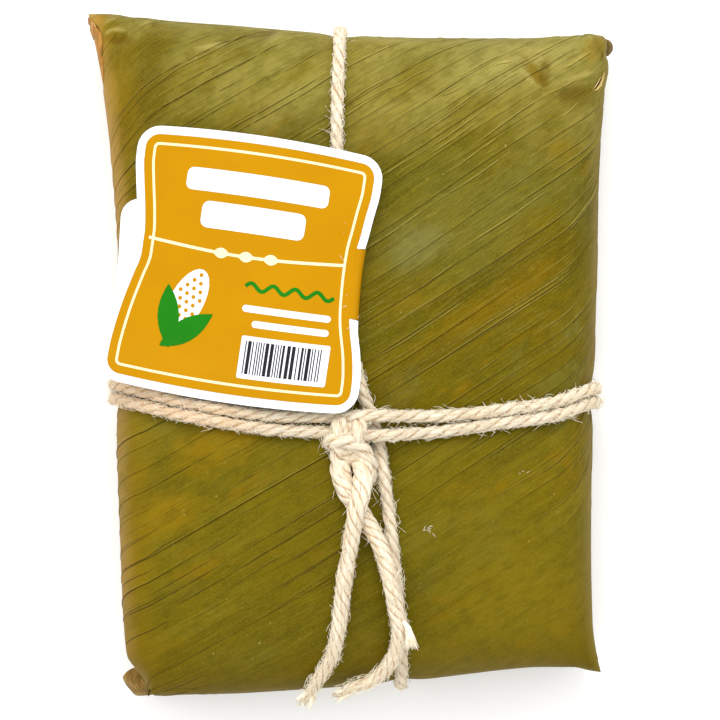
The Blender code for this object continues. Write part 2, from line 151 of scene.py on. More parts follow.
# Corners of the wrapping: where the sheet's edge runs as (y, x), and creases with their strength
CORNER_NEAR_LEFT = [(-89.5, -53.6), (-87.4, -54.1), (-85.3, -54.4), (-84.2, -55.1), (-81.9, -56.7),
                    (-80.6, -57.7), (-78.8, -58.5), (-77, -58.6)]
CORNER_FAR_RIGHT = [(73, 67.2), (75.4, 66.8), (76.8, 66.2), (80.5, 66.1), (81.6, 65.6),
                    (82.6, 64.4), (83.4, 62.8)]
CREASES = [([(-63.0, 84.4), (-61.2, 85.9), (-59.2, 86.9)], 0.9),
           ([(-64.4, 84.9), (-62.6, 86.0), (-61.0, 86.6)], 0.8),
           ([(-54.9, 84.2), (-53.6, 84.9), (-52.3, 85.2)], 0.8),
           ([(-50.7, 69.2), (-48.4, 70.7), (-44.7, 73.3), (-41.0, 75.2), (-37.3, 77.0),
             (-31.7, 80.0), (-27.3, 82.1)], 1.6),
           ([(-0.2, 62.9), (4.3, 65.5), (8.8, 67.8), (12.5, 69.2), (16.2, 71.5),
             (20.3, 73.3)], 1.2),
           ([(22.5, 65.9), (25.5, 67.0), (29.2, 68.9)], 1.2),
           ([(27.3, 70.7), (31.1, 73.0), (34.8, 75.0), (37.4, 76.3), (39.6, 77.0)], 1.3),
           ([(36.2, 73.3), (37.7, 74.3), (40.0, 74.8), (42.2, 75.2)], 1.3),
           ([(33.6, 66.6), (36.6, 68.1), (40.3, 70.7), (44.0, 72.6)], 1.1),
           ([(47.8, 69.6), (48.9, 67.8), (49.6, 66.6)], 0.7),
           ([(49.7, 66.4), (51.8, 67.2), (54.6, 68.6), (57.8, 70.4)], 1.3),
           ([(54.1, 73.0), (57.0, 74.4), (60.4, 76.7), (62.6, 77.8)], 1.4),
           ([(54.1, 60.3), (57.4, 63.3), (59.6, 65.5)], 1.1),
           ([(61.8, 61.8), (63.0, 63.4), (63.8, 65.3)], 1.0),
           ([(65.0, 75.4), (65.8, 76.0), (66.3, 76.2)], 2.0),
           ([(62.8, 66.2), (64.0, 67.6), (65.2, 69.8), (65.7, 72.2)], 1.2),
           ([(62.2, -79.3), (62.8, -80.4), (62.6, -81.6)], 1.6),
           ([(60.4, -80.8), (61.6, -81.9), (62.4, -82.6)], 1.2),
           ([(63.2, -77.6), (63.6, -79.4), (63.9, -81.3)], 1.0),
           ([(-50.5, -88.1), (-47.0, -87.9), (-40.0, -87.6)], 0.8)]

# Gussets of the end walls: which end, upper and lower point as (x, z), 1 where below lies lower
GUSSETS = [(-1, (-57.5, 24.0), (-47.0, 14.5), 1), (-1, (58.5, 23.0), (47.0, 14.5), 1),
           (-1, (-55.0, 13.5), (-44.0, 2.0), -1), (-1, (57.0, 13.0), (45.0, 2.0), -1),
           (1, (-63.0, 26.0), (-47.0, 14.5), 1), (1, (62.0, 25.0), (47.0, 14.5), 1),
           (1, (-58.0, 14.0), (-45.0, 2.0), -1), (1, (58.0, 13.5), (45.0, 2.0), -1)]

# Soft ridges and hollows of the upper sheet: route, width, rise
SOFT_FOLDS = [([(-64.0, 81.6), (-62.7, 83.2), (-61.4, 83.5), (-59.9, 83.2), (-58.0, 82.8)],
               0.9, 0.55),
              ([(-63.0, 80.6), (-60.6, 80.8), (-57.6, 81.4)], 1.3, -0.6),
              ([(-64.5, 84.6), (-62.6, 86.0), (-60.6, 86.9)], 0.9, 0.45),
              ([(-63.4, 83.9), (-61.2, 85.0), (-59.2, 85.9)], 0.8, -0.4),
              ([(-41.3, 78.3), (-38.5, 78.6), (-35.0, 79.3), (-32.0, 79.3)], 1.0, 0.5),
              ([(-43.0, 77.8), (-42.4, 75.4)], 1.0, -0.45),
              ([(-30.6, 80.6), (-26.5, 81.9), (-22.9, 82.6), (-18.0, 84.3)], 1.1, -0.45),
              ([(-26.2, 78.9), (-22.9, 81.3), (-19.5, 83.8)], 1.0, -0.4),
              ([(-24.4, 78.2), (-21.0, 80.4), (-17.2, 82.6)], 1.0, 0.35),
              ([(-55.0, 84.4), (-52.0, 85.4)], 0.9, 0.4),
              ([(43.3, 73.7), (44.8, 71.8), (47.4, 69.2), (48.9, 67.8), (49.8, 66.3)], 0.9, 0.45),
              ([(50.4, 75.6), (49.8, 71.8), (49.6, 68.4)], 1.5, -0.8),
              ([(49.8, 66.3), (53.3, 68.5), (57.0, 70.4), (60.8, 71.8), (64.4, 73.3)], 1.1, 0.5),
              ([(53.0, 65.6), (56.8, 67.0), (61.0, 68.2)], 2.2, -0.7),
              ([(54.1, 73.4), (57.0, 74.8), (60.4, 77.1), (62.6, 78.2)], 0.8, 0.35),
              ([(62.4, 80.6), (64.0, 78.8), (65.2, 77.0)], 0.9, -0.5),
              ([(60.8, 82.0), (62.6, 80.4), (63.4, 78.4)], 0.9, 0.4),
              ([(36.2, 73.3), (37.7, 74.3), (40.0, 74.8), (42.2, 75.2)], 0.8, 0.35),
              ([(41.0, 77.6), (43.6, 77.0), (46.2, 75.6)], 1.1, -0.4)]

# Folded ear at the far left corner, slit at the far right one, and the two rolled ends
EAR_SIDE = [(-68.5, 87.0), (-68.4, 85.3), (-67.6, 82.6), (-66.4, 79.8), (-65.5, 77.0),
            (-65.1, 74.0), (-64.9, 74.6), (-64.8, 77.0), (-64.6, 80.1), (-64.7, 82.2),
            (-66.3, 84.5), (-67.6, 86.3)]
EAR_RIM = [(-65.3, 77.0), (-65.05, 75.2), (-64.8, 72.8), (-64.55, 70.4), (-64.35, 70.4),
           (-64.4, 72.8), (-64.45, 75.4), (-64.9, 77.4)]
SLIT_LIP = [(65.3, 72.4), (64.9, 70.8), (64.3, 69.2), (63.4, 68.0), (62.4, 67.5)]
SLIT_EDGE = [(64.5, 71.3), (63.7, 69.9), (62.9, 68.6), (62.3, 67.9)]
CURL_NEAR_LEFT = [(-56.6, -82.1, 13), (-58.3, -82.9, 12), (-59.5, -84.2, 11), (-59.7, -85.0, 10),
                  (-59.0, -86.6, 9.5), (-57.8, -88.1, 9), (-56.3, -89.5, 9), (-53.6, -89.5, 10),
                  (-51.6, -89.0, 12), (-50.4, -87.5, 13), (-51.0, -84.0, 13), (-53.5, -82.0, 13)]
CURL_FAR_RIGHT = [(65.4, 81.6, 14), (66.9, 81.2, 13), (67.8, 80.2, 12), (68.0, 79.0, 11),
                  (67.5, 77.9, 12), (66.2, 76.9, 13), (63.5, 77.5, 15), (63.2, 80.5, 15)]

# Skin of the wrapping: points across and along each sheet, the half sizes that their spacing
# follows, half the way round the parcel, and the lowest height of the skin, so that the flaps
# and the overlap have room below it
SKIN_ACROSS = 154
SKIN_ALONG = 218
SKIN_HALF = (62.5, 84.5)
HALF_ROUND = 145
UNDERSIDE = 0.8

# Fold lips: the cross-section as distance, rise and shade, the weakest pleat that still has one,
# the height without strength and what full strength adds, how far a lip stands off the skin and
# how far its ends sink into it
# The shade of the cross-section is painted: highlight on the crest, shadow on the drop
LIP_SHAPE = ((1.0, -0.06, 0.0), (0.45, 0.05, 0.15), (0.16, 0.75, 0.6), (0.05, 1.0, 1.0),
             (-0.03, 0.9, 0.4), (-0.08, 0.2, -0.6), (-0.14, -0.5, -1.0))
WEAKEST_LIP = 0.12
LIP_BASE = 0.05
LIP_GAIN = 0.14
LIP_LIFT = 0.035
LIP_SINK = 0.085

# Thickness of the flaps, and the angles up to which layers of leaf and of card look smooth
FLAP_THICKNESS = 0.3
LEAF_SMOOTH = 40
CARD_SMOOTH = 35

# Twisted twine: radius over the yarns and length of one turn, and fibres to a millimetre of it
STRAND_TWINE = (1.58, 12.6)
TAIL_TWINE = (2.05, 15.0)
KNOT_TWINE = (1.95, 13)
FIBRES_PER_MM = 15.0

# Patches on the leaf, of colour and of painted light: x, y, length, width, turn, colour on the
# screen and strength
# Painted reflection: both grey patches on this line
PATCHES_AND_PAINTED_LIGHT = [(27, 33, 24, 17, 20, (104, 102, 44), 0.5), (17, 27, 9, 6, 30, (120, 120, 74), 0.4),
             # Painted sheen: the first, pale patch on this line; the second is amber
             (44, 75, 22, 7, 12, (158, 150, 86), 0.5), (38, 13, 24, 5, 33, (128, 94, 0), 0.55),
             (-34, -24, 17, 7, 33, (134, 102, 0), 0.7), (-48, -42, 10, 6, 30, (140, 106, 2), 0.6),
             (14, 14, 12, 4, 40, (118, 88, 0), 0.4), (54, 52, 6, 5, 30, (130, 98, 2), 0.4),
             (-55.5, 65, 10, 18, -14, (86, 68, 0), 0.85), (-54, 78, 12, 5, 20, (90, 72, 0), 0.8),
             (-66, 86, 3.4, 2.2, 25, (138, 98, 14), 0.8),
             # Painted shadow under the crease of the far left ear
             (-61.4, 81.2, 3.6, 1.7, 10, (92, 66, 6), 0.75),
             (-50, 84.6, 3, 1.4, 5, (96, 78, 4), 0.6),
             (47.6, 72.0, 5.6, 1.9, -52, (112, 84, 0), 0.85),
             # Painted shadow under the ridge at the far right: the first patch on this line
             (59, 65, 7, 4, 28, (84, 68, 0), 0.6), (62.5, 78, 5, 3.4, 40, (140, 108, 10), 0.55),
             (-8, -60, 16, 18, 0, (84, 74, 2), 0.35), (45, -62, 20, 24, 0, (124, 104, 14), 0.5)]


def lerp(a, b, t):
    return a + (b - a) * t


def smooth(t):
    t = np.clip(t, 0.0, 1.0)
    return t * t * (3 - 2 * t)


def read_table(rows, x):
    """Smooth value at x through the (x, value) rows, held level past both ends."""
    if x <= rows[0][0]:
        return rows[0][1]
    if x >= rows[-1][0]:
        return rows[-1][1]
    k = max(i for i in range(len(rows) - 1) if rows[i][0] <= x)

    def rise(i):
        return (rows[i + 1][1] - rows[i][1]) / (rows[i + 1][0] - rows[i][0])

    def slope(i):
        if i == 0 or i == len(rows) - 1:
            return rise(min(i, len(rows) - 2))
        before, after = rise(i - 1), rise(i)
        return 2 * before * after / (before + after) if before * after > 0 else 0.0

    width = rows[k + 1][0] - rows[k][0]
    t = (x - rows[k][0]) / width
    start = rows[k][1] * (1 + 2 * t) * (1 - t) ** 2 + slope(k) * width * t * (1 - t) ** 2
    end = rows[k + 1][1] * (3 - 2 * t) * t * t - slope(k + 1) * width * t * t * (1 - t)
    return start + end


def spline(points, step):
    """Points about one step apart on a smooth curve through the given points."""
    line = []
    count = len(points)
    for i in range(count - 1):
        a, b, c, d = [Vector(points[min(max(i + k, 0), count - 1)]) for k in (-1, 0, 1, 2)]
        parts = max(1, round((c - b).length / step))
        for j in range(parts):
            t = j / parts
            line.append(0.5 * (2 * b + (c - a) * t + (2 * a - 5 * b + 4 * c - d) * t * t
                               + (3 * b - a - 3 * c + d) * t ** 3))
    line.append(Vector(points[-1]))
    return line


def linear(red, green, blue):
    """Colour from 0-255 screen values."""
    def one(c):
        c /= 255
        return c / 12.92 if c <= 0.04045 else ((c + 0.055) / 1.055) ** 2.4
    return (one(red), one(green), one(blue), 1.0)


def new_object(name, data):
    thing = bpy.data.objects.new(name, data)
    bpy.context.scene.collection.objects.link(thing)
    return thing


def mesh_of(name, points, faces):
    """Smooth mesh from points in millimetres."""
    data = bpy.data.meshes.new(name)
    data.from_pydata([p * MM for p in points], [], faces)
    for face in data.polygons:
        face.use_smooth = True
    return data


def mark(data, label, values):
    """Give each point of a mesh a value, or three, for its finish to read."""
    values = np.array(values, dtype=np.float32)
    if values.ndim == 1:
        data.attributes.new(label, "FLOAT", "POINT").data.foreach_set("value", values)
    else:
        layer = data.attributes.new(label, "FLOAT_VECTOR", "POINT")
        layer.data.foreach_set("vector", values.ravel())


def finish_piece(thing, look, slot, *nodes):
    """Give a piece its finish and its body; its slot is not used."""
    thing.data.materials.clear()
    thing.data.materials.append(look)
    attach(thing, "root")
    if nodes:
        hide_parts(*nodes)
    return thing


def only(thing):
    bpy.ops.object.select_all(action="DESELECT")
    thing.select_set(True)
    bpy.context.view_layer.objects.active = thing


# The parcel's surface

def bulge(u, power):
    return (1 - np.abs(u) ** power) ** (1 / power)


def parcel_sheet(us, vs, top):
    """Points of the wrapping's top or base sheet, one row for each v."""
    left = np.array([read_table(LEFT_SIDE, v) for v in vs])[:, None]
    right = np.array([read_table(RIGHT_SIDE, v) for v in vs])[:, None]
    near = np.array([read_table(NEAR_END, u) for u in us])[None, :]
    far = np.array([read_table(FAR_END, u) for u in us])[None, :]
    x = lerp(left, right, (us[None, :] + 1) / 2)
    y = lerp(near, far, (vs[:, None] + 1) / 2)
    if top:
        full = bulge(us, SIDE_POWER)[None, :] * bulge(vs, END_POWER)[:, None]
        z = lerp(SEAM_HEIGHT, PARCEL_HEIGHT, full)
    else:
        full = bulge(us, BASE_POWER)[None, :] * bulge(vs, BASE_POWER)[:, None]
        z = SEAM_HEIGHT * (1 - np.minimum(1.0, BASE_SPREAD * full))
    return np.stack([x, y, z], axis=-1)


def sheet_faces(rows, columns, start=0, flip=False):
    faces = []
    for j in range(rows - 1):
        for i in range(columns - 1):
            a = start + j * columns + i
            quad = (a, a + 1, a + columns + 1, a + columns)
            faces.append(quad[::-1] if flip else quad)
    return faces


def coarse_skin():
    """The CAD parcel's surface before its grooves, to lay the twine on."""
    us = np.sin(np.pi * (np.arange(25) / 24 - 0.5))
    vs = np.sin(np.pi * (np.arange(35) / 34 - 0.5))
    points = np.concatenate([parcel_sheet(us, vs, True).reshape(-1, 3),
                             parcel_sheet(us, vs, False).reshape(-1, 3)])
    faces = sheet_faces(35, 25) + sheet_faces(35, 25, 25 * 35, True)
    return BVHTree.FromPolygons([Vector(p) for p in points], faces)


def even_spacing(power, half, count):
    """Values over -1..1 that are evenly spaced along the curved surface."""
    t = np.sin(np.linspace(-np.pi / 2, np.pi / 2, 4001))
    z = (PARCEL_HEIGHT - SEAM_HEIGHT) * bulge(t, power)
    run = np.concatenate([[0], np.cumsum(np.hypot(np.diff(t) * half, np.diff(z)))])
    values = np.interp(np.linspace(0, run[-1], count), run, t)
    values[0], values[-1] = -1.0, 1.0
    return values


def near_tree(points):
    """Search tree for the points nearest to a place."""
    tree = KDTree(len(points))
    for k, p in enumerate(points):
        tree.insert(p, k)
    tree.balance()
    return tree


def drop(tree, x, y):
    """Where a plumb line from above meets a surface, and the outward direction there."""
    return tree.ray_cast(Vector((x, y, 99)), Vector((0, 0, -1)))[:2]


# Centre lines of the twine

def hull_of(spots):
    """Convex hull of flat points, as a tight strand spans the hollows between them."""
    spots = sorted(spots)
    hull = []
    for order in (spots, spots[::-1]):
        side = []
        for p in order:
            while len(side) > 1 and ((side[-1][0] - side[-2][0]) * (p[1] - side[-2][1])
                                     - (side[-1][1] - side[-2][1]) * (p[0] - side[-2][0])) <= 0:
                side.pop()
            side.append(p)
        hull += side[:-1]
    return hull


def strand_line(skin, top, base, lifts, lengthwise, underpass):
    """Closed centre line of a tight strand: list of (centre, outward, sideways)."""
    middle = SEAM_HEIGHT + 1.3
    axis = 1 if lengthwise else 0

    def place(s, z):
        across = lerp(read_table(base, s), read_table(top, s), float(smooth((z - 6) / 22)))
        return Vector((across, s, z)) if lengthwise else Vector((s, across, z))

    hits = []
    s, z = 60.0, middle
    for k in range(360):
        angle = math.radians(k + 0.4)
        out = (math.cos(angle), math.sin(angle))
        for _ in range(3):
            start = place(s, z)
            start[axis] = out[0] * 200
            start.z = middle + out[1] * 200
            ray = Vector((0, 0, -out[1]))
            ray[axis] = -out[0]
            hit = skin.ray_cast(start, ray)[0]
            s, z = hit[axis], hit.z
        hits.append((s, z))

    hull = hull_of(hits)
    dense = []
    for k, here in enumerate(hull):
        after = hull[(k + 1) % len(hull)]
        parts = max(1, round(math.dist(here, after) / 0.8))
        dense += [(lerp(here[0], after[0], j / parts), lerp(here[1], after[1], j / parts))
                  for j in range(parts)]
    path = []
    for k, (s, z) in enumerate(dense):
        before, after = dense[k - 2], dense[(k + 2) % len(dense)]
        turn = Vector((after[1] - before[1], before[0] - after[0])).normalized()
        normal = Vector((0, 0, turn.y))
        normal[axis] = turn.x
        lift = lerp(BASE_LIFT, read_table(lifts, s), float(smooth((z - 1) / 13)))
        if z < SEAM_HEIGHT:
            lift = lerp(BASE_LIFT, TOP_LIFT, float(smooth((z - 1) / 13)))
            if underpass:
                lift -= UNDERPASS_DEPTH * float(smooth((14 - abs(s - UNDERPASS_AT)) / 9))
        path.append((place(s, z) + normal * lift, normal))
    count = len(path)
    for _ in range(6):
        path = [((path[k - 1][0] + 2 * path[k][0] + path[(k + 1) % count][0]) / 4,
                 ((path[k - 1][1] + 2 * path[k][1] + path[(k + 1) % count][1]) / 4))
                for k in range(count)]
    line = []
    for k in range(count):
        along = (path[(k + 1) % count][0] - path[k - 1][0]).normalized()
        side = along.cross(path[k][1]).normalized()
        line.append((path[k][0], side.cross(along).normalized(), side))
    return line


def shifted(line, share):
    """The same strand moved sideways by part of the split between the pair."""
    moved = []
    for centre, out, side in line:
        width = read_table(CROSS_SPLIT, centre.x) if centre.z > SEAM_HEIGHT else 3.6
        moved.append((centre + side * share * width, out, side))
    return moved


def nearest_on(line, p):
    best = None
    for a, b in zip(line, line[1:]):
        t = min(max((p - a).dot(b - a) / max((b - a).length_squared, 1e-9), 0.0), 1.0)
        q = a.lerp(b, t)
        if best is None or (p - q).length < (p - best).length:
            best = q
    return best


def lay(route, end_height, skin, others):
    """Rest a tail's centre line on the parcel and over the strands that it crosses."""
    clear = TAIL_RADIUS + GAP
    line = spline([(x, y, 0) for x, y in route], 3.0)
    for p in line:
        hit = drop(skin, p.x, p.y)[0]
        p.z = hit.z + clear if hit else end_height
    line[-1].z = end_height
    for _ in range(60):
        for k in range(1, len(line) - 1):
            line[k].z = (line[k - 1].z + 2 * line[k].z + line[k + 1].z) / 4
        for p in line[:-1]:
            near, normal, _, _ = skin.find_nearest(p)
            height = (p - near).dot(normal)
            if height < clear:
                p += normal * (clear - height)
            for other, distance in others:
                q = nearest_on(other, p)
                if (p - q).length < distance:
                    flat = min(math.hypot(p.x - q.x, p.y - q.y), distance)
                    p.z = q.z + math.sqrt(distance ** 2 - flat ** 2)
    return line


def framed(points):
    """Centre, outward and sideways directions along an open line, without twist."""
    line = []
    out = Vector((0, 0, 1))
    for k, p in enumerate(points):
        along = (points[min(k + 1, len(points) - 1)] - points[max(k - 1, 0)]).normalized()
        out = (out - along * out.dot(along)).normalized()
        line.append((p, out, along.cross(out)))
    return line


# Twine

def rope(name, line, radius, pitch, yarns, closed, seed, girth=None):
    """Twisted twine: yarns as lobes of one skin that turn along the centre line."""
    sides = 30
    count = len(line)
    stops = [0.0]
    for k in range(count if closed else count - 1):
        stops.append(stops[-1] + (line[(k + 1) % count][0] - line[k][0]).length)
    length = stops[-1]
    turns = length / pitch
    if closed:
        turns = round(turns)
    wedge = math.tau / yarns
    offset, lobe_size = (0.35, 0.67) if yarns == 3 else (0.41, 0.61)
    points, grooves = [], []
    for k, (centre, out, side) in enumerate(line):
        run = stops[k]
        turn = -math.tau * turns * run / length
        calm = min(1.0, min(run, length - run) / 4) if closed else 1.0
        swell = 1 + 0.10 * calm * noise.noise(Vector((run / 6, seed, 0)))
        if girth:
            swell *= read_table(girth, run / length)
        for j in range(sides):
            a = math.tau * j / sides
            lobe = (a + wedge / 2) % wedge - wedge / 2
            yarn = int((a + wedge / 2) // wedge) % yarns
            fat = 1 + 0.16 * calm * noise.noise(Vector((run / 5, seed + 3.7 * yarn, 4)))
            r = radius * swell * (offset * math.cos(lobe) * fat
                                  + math.sqrt(lobe_size ** 2 - (offset * math.sin(lobe)) ** 2))
            spin = a + 0.2 * turn
            r *= 1 + 0.06 * calm * noise.noise(Vector((4.5 * math.cos(spin), 4.5 * math.sin(spin),
                                                       run / 3.2 + seed)))
            points.append(centre + (out * math.cos(a + turn) + side * math.sin(a + turn)) * r)
            grooves.append(abs(lobe) / (wedge / 2))
    faces, coords = [], []
    for k in range(count if closed else count - 1):
        low, high = k * sides, ((k + 1) % count) * sides
        lag = [-0.8 * turns * stops[n] / length for n in (k, k + 1)]
        for j in range(sides):
            n = (j + 1) % sides
            faces.append((low + j, low + n, high + n, high + j))
            here, after = j / sides, (j + 1) / sides
            coords += [(here + lag[0], stops[k] / 10), (after + lag[0], stops[k] / 10),
                       (after + lag[1], stops[k + 1] / 10), (here + lag[1], stops[k + 1] / 10)]
    if not closed:
        for base in (0, (count - 1) * sides):
            faces.append(tuple(base + j for j in range(sides)))
            coords += [(j / sides, stops[-1] / 10 if base else 0) for j in range(sides)]
    data = mesh_of(name, points, faces)
    layer = data.uv_layers.new(name="twine")
    for k, uv in enumerate(coords):
        layer.data[k].uv = uv
    mark(data, "groove", grooves)
    face_outward(data)
    return new_object(name, data)


def face_outward(data):
    work = bmesh.new()
    work.from_mesh(data)
    bmesh.ops.recalc_face_normals(work, faces=work.faces)
    for face in work.faces:
        face.smooth = True
    work.to_mesh(data)
    work.free()


def join(name, *pieces):
    """One object made of several."""
    bpy.ops.object.select_all(action="DESELECT")
    for piece in pieces:
        piece.select_set(True)
    bpy.context.view_layer.objects.active = pieces[0]
    bpy.ops.object.join()
    pieces[0].name = name
    return pieces[0]


def tubes(name, strands, sides):
    """Tapered tubes in one mesh: each strand is a list of points and of their radii."""
    points, faces = [], []
    for path, radii in strands:
        start = len(points)
        side = (path[1] - path[0]).orthogonal().normalized()
        for k, p in enumerate(path):
            along = (path[min(k + 1, len(path) - 1)] - path[max(k - 1, 0)]).normalized()
            side = (side - along * side.dot(along)).normalized()
            up = along.cross(side)
            for j in range(sides):
                a = math.tau * j / sides
                points.append(p + (side * math.cos(a) + up * math.sin(a)) * radii[k])
        for k in range(len(path) - 1):
            for j in range(sides):
                a, n = start + sides * k, (j + 1) % sides
                faces.append((a + j, a + n, a + sides + n, a + sides + j))
        last = start + sides * (len(path) - 1)
        faces += [tuple(start + j for j in reversed(range(sides))),
                  tuple(last + j for j in range(sides))]
    return new_object(name, mesh_of(name, points, faces))


def inside(path, box):
    low, high = box
    return all(low[k] < p[k] < high[k] for p in path for k in range(3))


def fuzz(name, lines, seed, box):
    """Short fringe of fibres along the twine, and a few longer ones that curl out of it."""
    pick = random.Random(seed)
    strands = []
    for line, radius in lines:
        length = sum((b[0] - a[0]).length for a, b in zip(line, line[1:]))
        for _ in range(int(length * FIBRES_PER_MM)):
            k = pick.randrange(2, len(line) - 3)
            centre, out, side = line[k]
            if centre.z < 20 and pick.random() < 0.92:
                continue
            along = (line[k + 1][0] - line[k - 1][0]).normalized() * pick.choice((-1, 1))
            a = pick.uniform(0, math.tau)
            away = out * math.cos(a) + side * math.sin(a)
            turn = away.cross(along)
            long_one = pick.random() < 0.10
            reach = pick.uniform(1.8, 4.2) if long_one else pick.uniform(0.5, 1.7)
            rise = pick.uniform(0.35, 0.9) if long_one else pick.uniform(0.4, 1.1)
            bow, swerve, curl = pick.uniform(0.3, 1.0), pick.uniform(-0.9, 0.9), pick.uniform(-2, 2)
            steps = 5 if long_one else 3
            path = []
            for n in range(steps + 1):
                t = n / steps
                p = centre + away * (radius * 0.92 + reach * rise * (t - bow * t * t))
                p += along * reach * t * 0.8
                path.append(p + turn * reach * (swerve * t * t + 0.12 * curl * math.sin(5 * t)))
            size = pick.uniform(0.05, 0.085)
            if inside(path, box):
                sizes = [size * (1 - 0.5 * (n / steps) ** 3) for n in range(steps + 1)]
                strands.append((path, sizes))
    return tubes(name, strands, 3)


def frayed(name, line, radius, aims, reach, seed, box):
    """Loose yarns that splay from the cut end of a tail, with finer fibres between them."""
    pick = random.Random(seed)
    centre, out, side = line[-1]
    along = (line[-1][0] - line[-5][0]).normalized()
    yarns, fibres = [], []
    for across, rise, share in aims:
        aim = side * across + out * rise
        path = []
        for n in range(10):
            t = n / 9
            p = centre + along * (reach * share * t - 2.5 * (1 - t))
            p = p + aim * radius * (0.4 + t ** 1.6)
            path.append(p + side * 0.25 * math.sin(4 * t + across * 5))
        girth = [radius * g for g in (0.5, 0.5, 0.52, 0.5, 0.46, 0.44, 0.4, 0.36, 0.3, 0.2)]
        yarns.append((path, girth))
        for _ in range(26):
            away = side * pick.uniform(-1, 1) + out * pick.uniform(-0.7, 1)
            start = pick.randrange(3, 8)
            tip = pick.uniform(1.5, 3.2)
            curve = pick.uniform(-0.5, 0.5)
            loose = []
            for n in range(5):
                t = n / 4
                p = path[start] + away * radius * 0.35 + along * tip * t
                loose.append(p + away * tip * 0.22 * t * t + side * curve * t * t)
            if inside(loose, box):
                size = pick.uniform(0.06, 0.12)
                fibres.append((loose, [size, size, size, size * 0.8, size * 0.5]))
    return join(name, tubes(name, yarns, 8), tubes("fibres", fibres, 3))


# Leaf

def vein_frame(s, t):
    """Distances along and across the veins, which steepen where the leaf rolls over."""
    far = smooth((t - 15) / 45)
    roll_right = ROLL_RIGHT + 10.0 * smooth((t - 35) / 30)
    roll_left = ROLL_LEFT - 6.0 * far
    over = np.clip(np.where(s > 0, s - roll_right, -s - roll_left), 0.0, None)
    extra = np.where(over < 8, over ** 2 / 18, 0.89 * over - 3.56)
    extra = np.where(s > 0, extra, extra * far - 0.35 * over * (1 - far))
    s = s + np.sign(s) * extra
    a = math.radians(VEIN_ANGLE)
    return s * math.cos(a) + t * math.sin(a), -s * math.sin(a) + t * math.cos(a)


def wander(p, seed, size):
    """Slow wave along the veins, from -1 to 1, the same for every pleat with this seed."""
    pick = random.Random(seed)
    total = np.zeros_like(p)
    for k in range(3):
        total += np.sin(p * (k + 1) / size + pick.uniform(0, math.tau)) / (k + 1)
    return total / 1.6


def pleat_gap(p, q, k):
    """Distance from pleat k, which wanders a little along its way."""
    return q - PLEATS[k][0] - 0.5 * wander(p, k, 45.0)


def pleat_swell(p, k, level, swing):
    """How far pleat k is raised along its way, from 0 to 1."""
    return smooth(level + swing * wander(p, 100 + k, 28.0))


def pleat_field(p, q):
    """Relief of the pleats, distance and strength of the nearest one, and tones beside it."""
    relief = np.zeros_like(q)
    nearest = np.full_like(q, 99.0)
    strength = np.zeros_like(q)
    above, below = np.zeros_like(q), np.zeros_like(q)
    for k, (_, power) in enumerate(PLEATS):
        gap = pleat_gap(p, q, k)
        weight = power * pleat_swell(p, k, 0.55, 0.75)
        relief += 0.07 * weight * np.tanh(gap / 0.8) * np.exp(-np.abs(gap) / 2.6)
        closer = np.abs(gap) < np.abs(nearest)
        nearest = np.where(closer, gap, nearest)
        strength = np.where(closer, weight, strength)
        above = np.where(closer, band_tone(p, k), above)
        below = np.where(closer, band_tone(p, k - 1), below)
    strength = strength * smooth((1.6 - np.abs(nearest)) / 0.8)
    return relief, nearest, strength, above, below


def quiet(x, y):
    """Where the leaf lies smooth and its lines fade: the near end, mostly right of the tails."""
    beside = smooth((x + 10) / 25) * smooth((-y - 28) / 22)
    under = smooth((x + 45) / 20) * smooth((-y - 58) / 14)
    corner = smooth((x - 60) / 4) * smooth((y - 76) / 4) * 1.33
    return float(max(beside, under, corner))


def band_tone(p, k):
    """Tone of the strip of leaf above pleat k, which changes slowly along it."""
    return random.Random(900 + k).uniform(-0.6, 0.6) + 0.7 * wander(p, 300 + k, 24.0)


def press(points, normals, lines):
    """Push the leaf in under the tight strands, with a soft shoulder on each side."""
    tree = near_tree([c for line in lines for c, _, _ in line])
    room = TWINE_RADIUS + 0.12
    out = points.copy()
    for k in range(len(points)):
        p, n = Vector(points[k]), Vector(normals[k])
        q, _, distance = tree.find(p)
        if distance > 11:
            continue
        depth = (q - p).dot(n)
        aside = (p - q + n * depth).length
        need = 0.0
        if aside < room:
            need = max(0.0, math.sqrt(room * room - aside * aside) - depth)
        lifted = max(0.0, min(1.0, (depth - 1.1) / 1.2))
        soft = 0.75 * math.exp(-(aside / 4.2) ** 2) * (1 - lifted)
        out[k] = points[k] - normals[k] * max(need, soft)
    return out


def fold_lips(points, normals, p, q, level):
    """Thin overlapping lips that run along the pleats, as strips laid on the leaf."""
    strips = []
    columns = q.shape[1]
    for number, (_, power) in enumerate(PLEATS):
        gaps = pleat_gap(p, q, number)

        def crossing(place):
            """Row and stop of the strip where the pleat crosses a place between two columns."""
            i = min(int(place), columns - 2)
            share = place - i
            gap = lerp(gaps[:, i], gaps[:, i + 1], share)
            cross = np.nonzero((gap[:-1] < 0) & (gap[1:] >= 0))[0]
            if not len(cross):
                return None
            j = cross[0]
            t = -gap[j] / (gap[j + 1] - gap[j])
            spot, normal, reach = [lerp(lerp(field[j, i], field[j + 1, i], t),
                                        lerp(field[j, i + 1], field[j + 1, i + 1], t), share)
                                   for field in (points, normals, p)]
            fade = float(pleat_swell(reach, number, 0.50, 0.65))
            fade *= 1 - 0.75 * quiet(spot[0], spot[1])
            vein = lerp(lerp(q[j, i], q[j + 1, i], t), lerp(q[j, i + 1], q[j + 1, i + 1], t), share)
            return j + t, (spot, normal, power * fade, reach, vein) if spot[2] > level else None

        trace, last = [], None
        for i in range(columns):
            found = crossing(i)
            if last and found:
                extra = min(6, int(abs(found[0] - last[0])))
                between = [crossing(i - 1 + k / (extra + 1)) for k in range(1, extra + 1)]
                trace += [stop[1] for stop in between if stop]
            trace.append(found[1] if found else None)
            last = found
        run = []
        for stop in trace + [None]:
            if stop is not None and stop[2] > WEAKEST_LIP:
                run.append(stop)
                continue
            if len(run) > 6:
                strips.append(run)
            run = []
    return strips


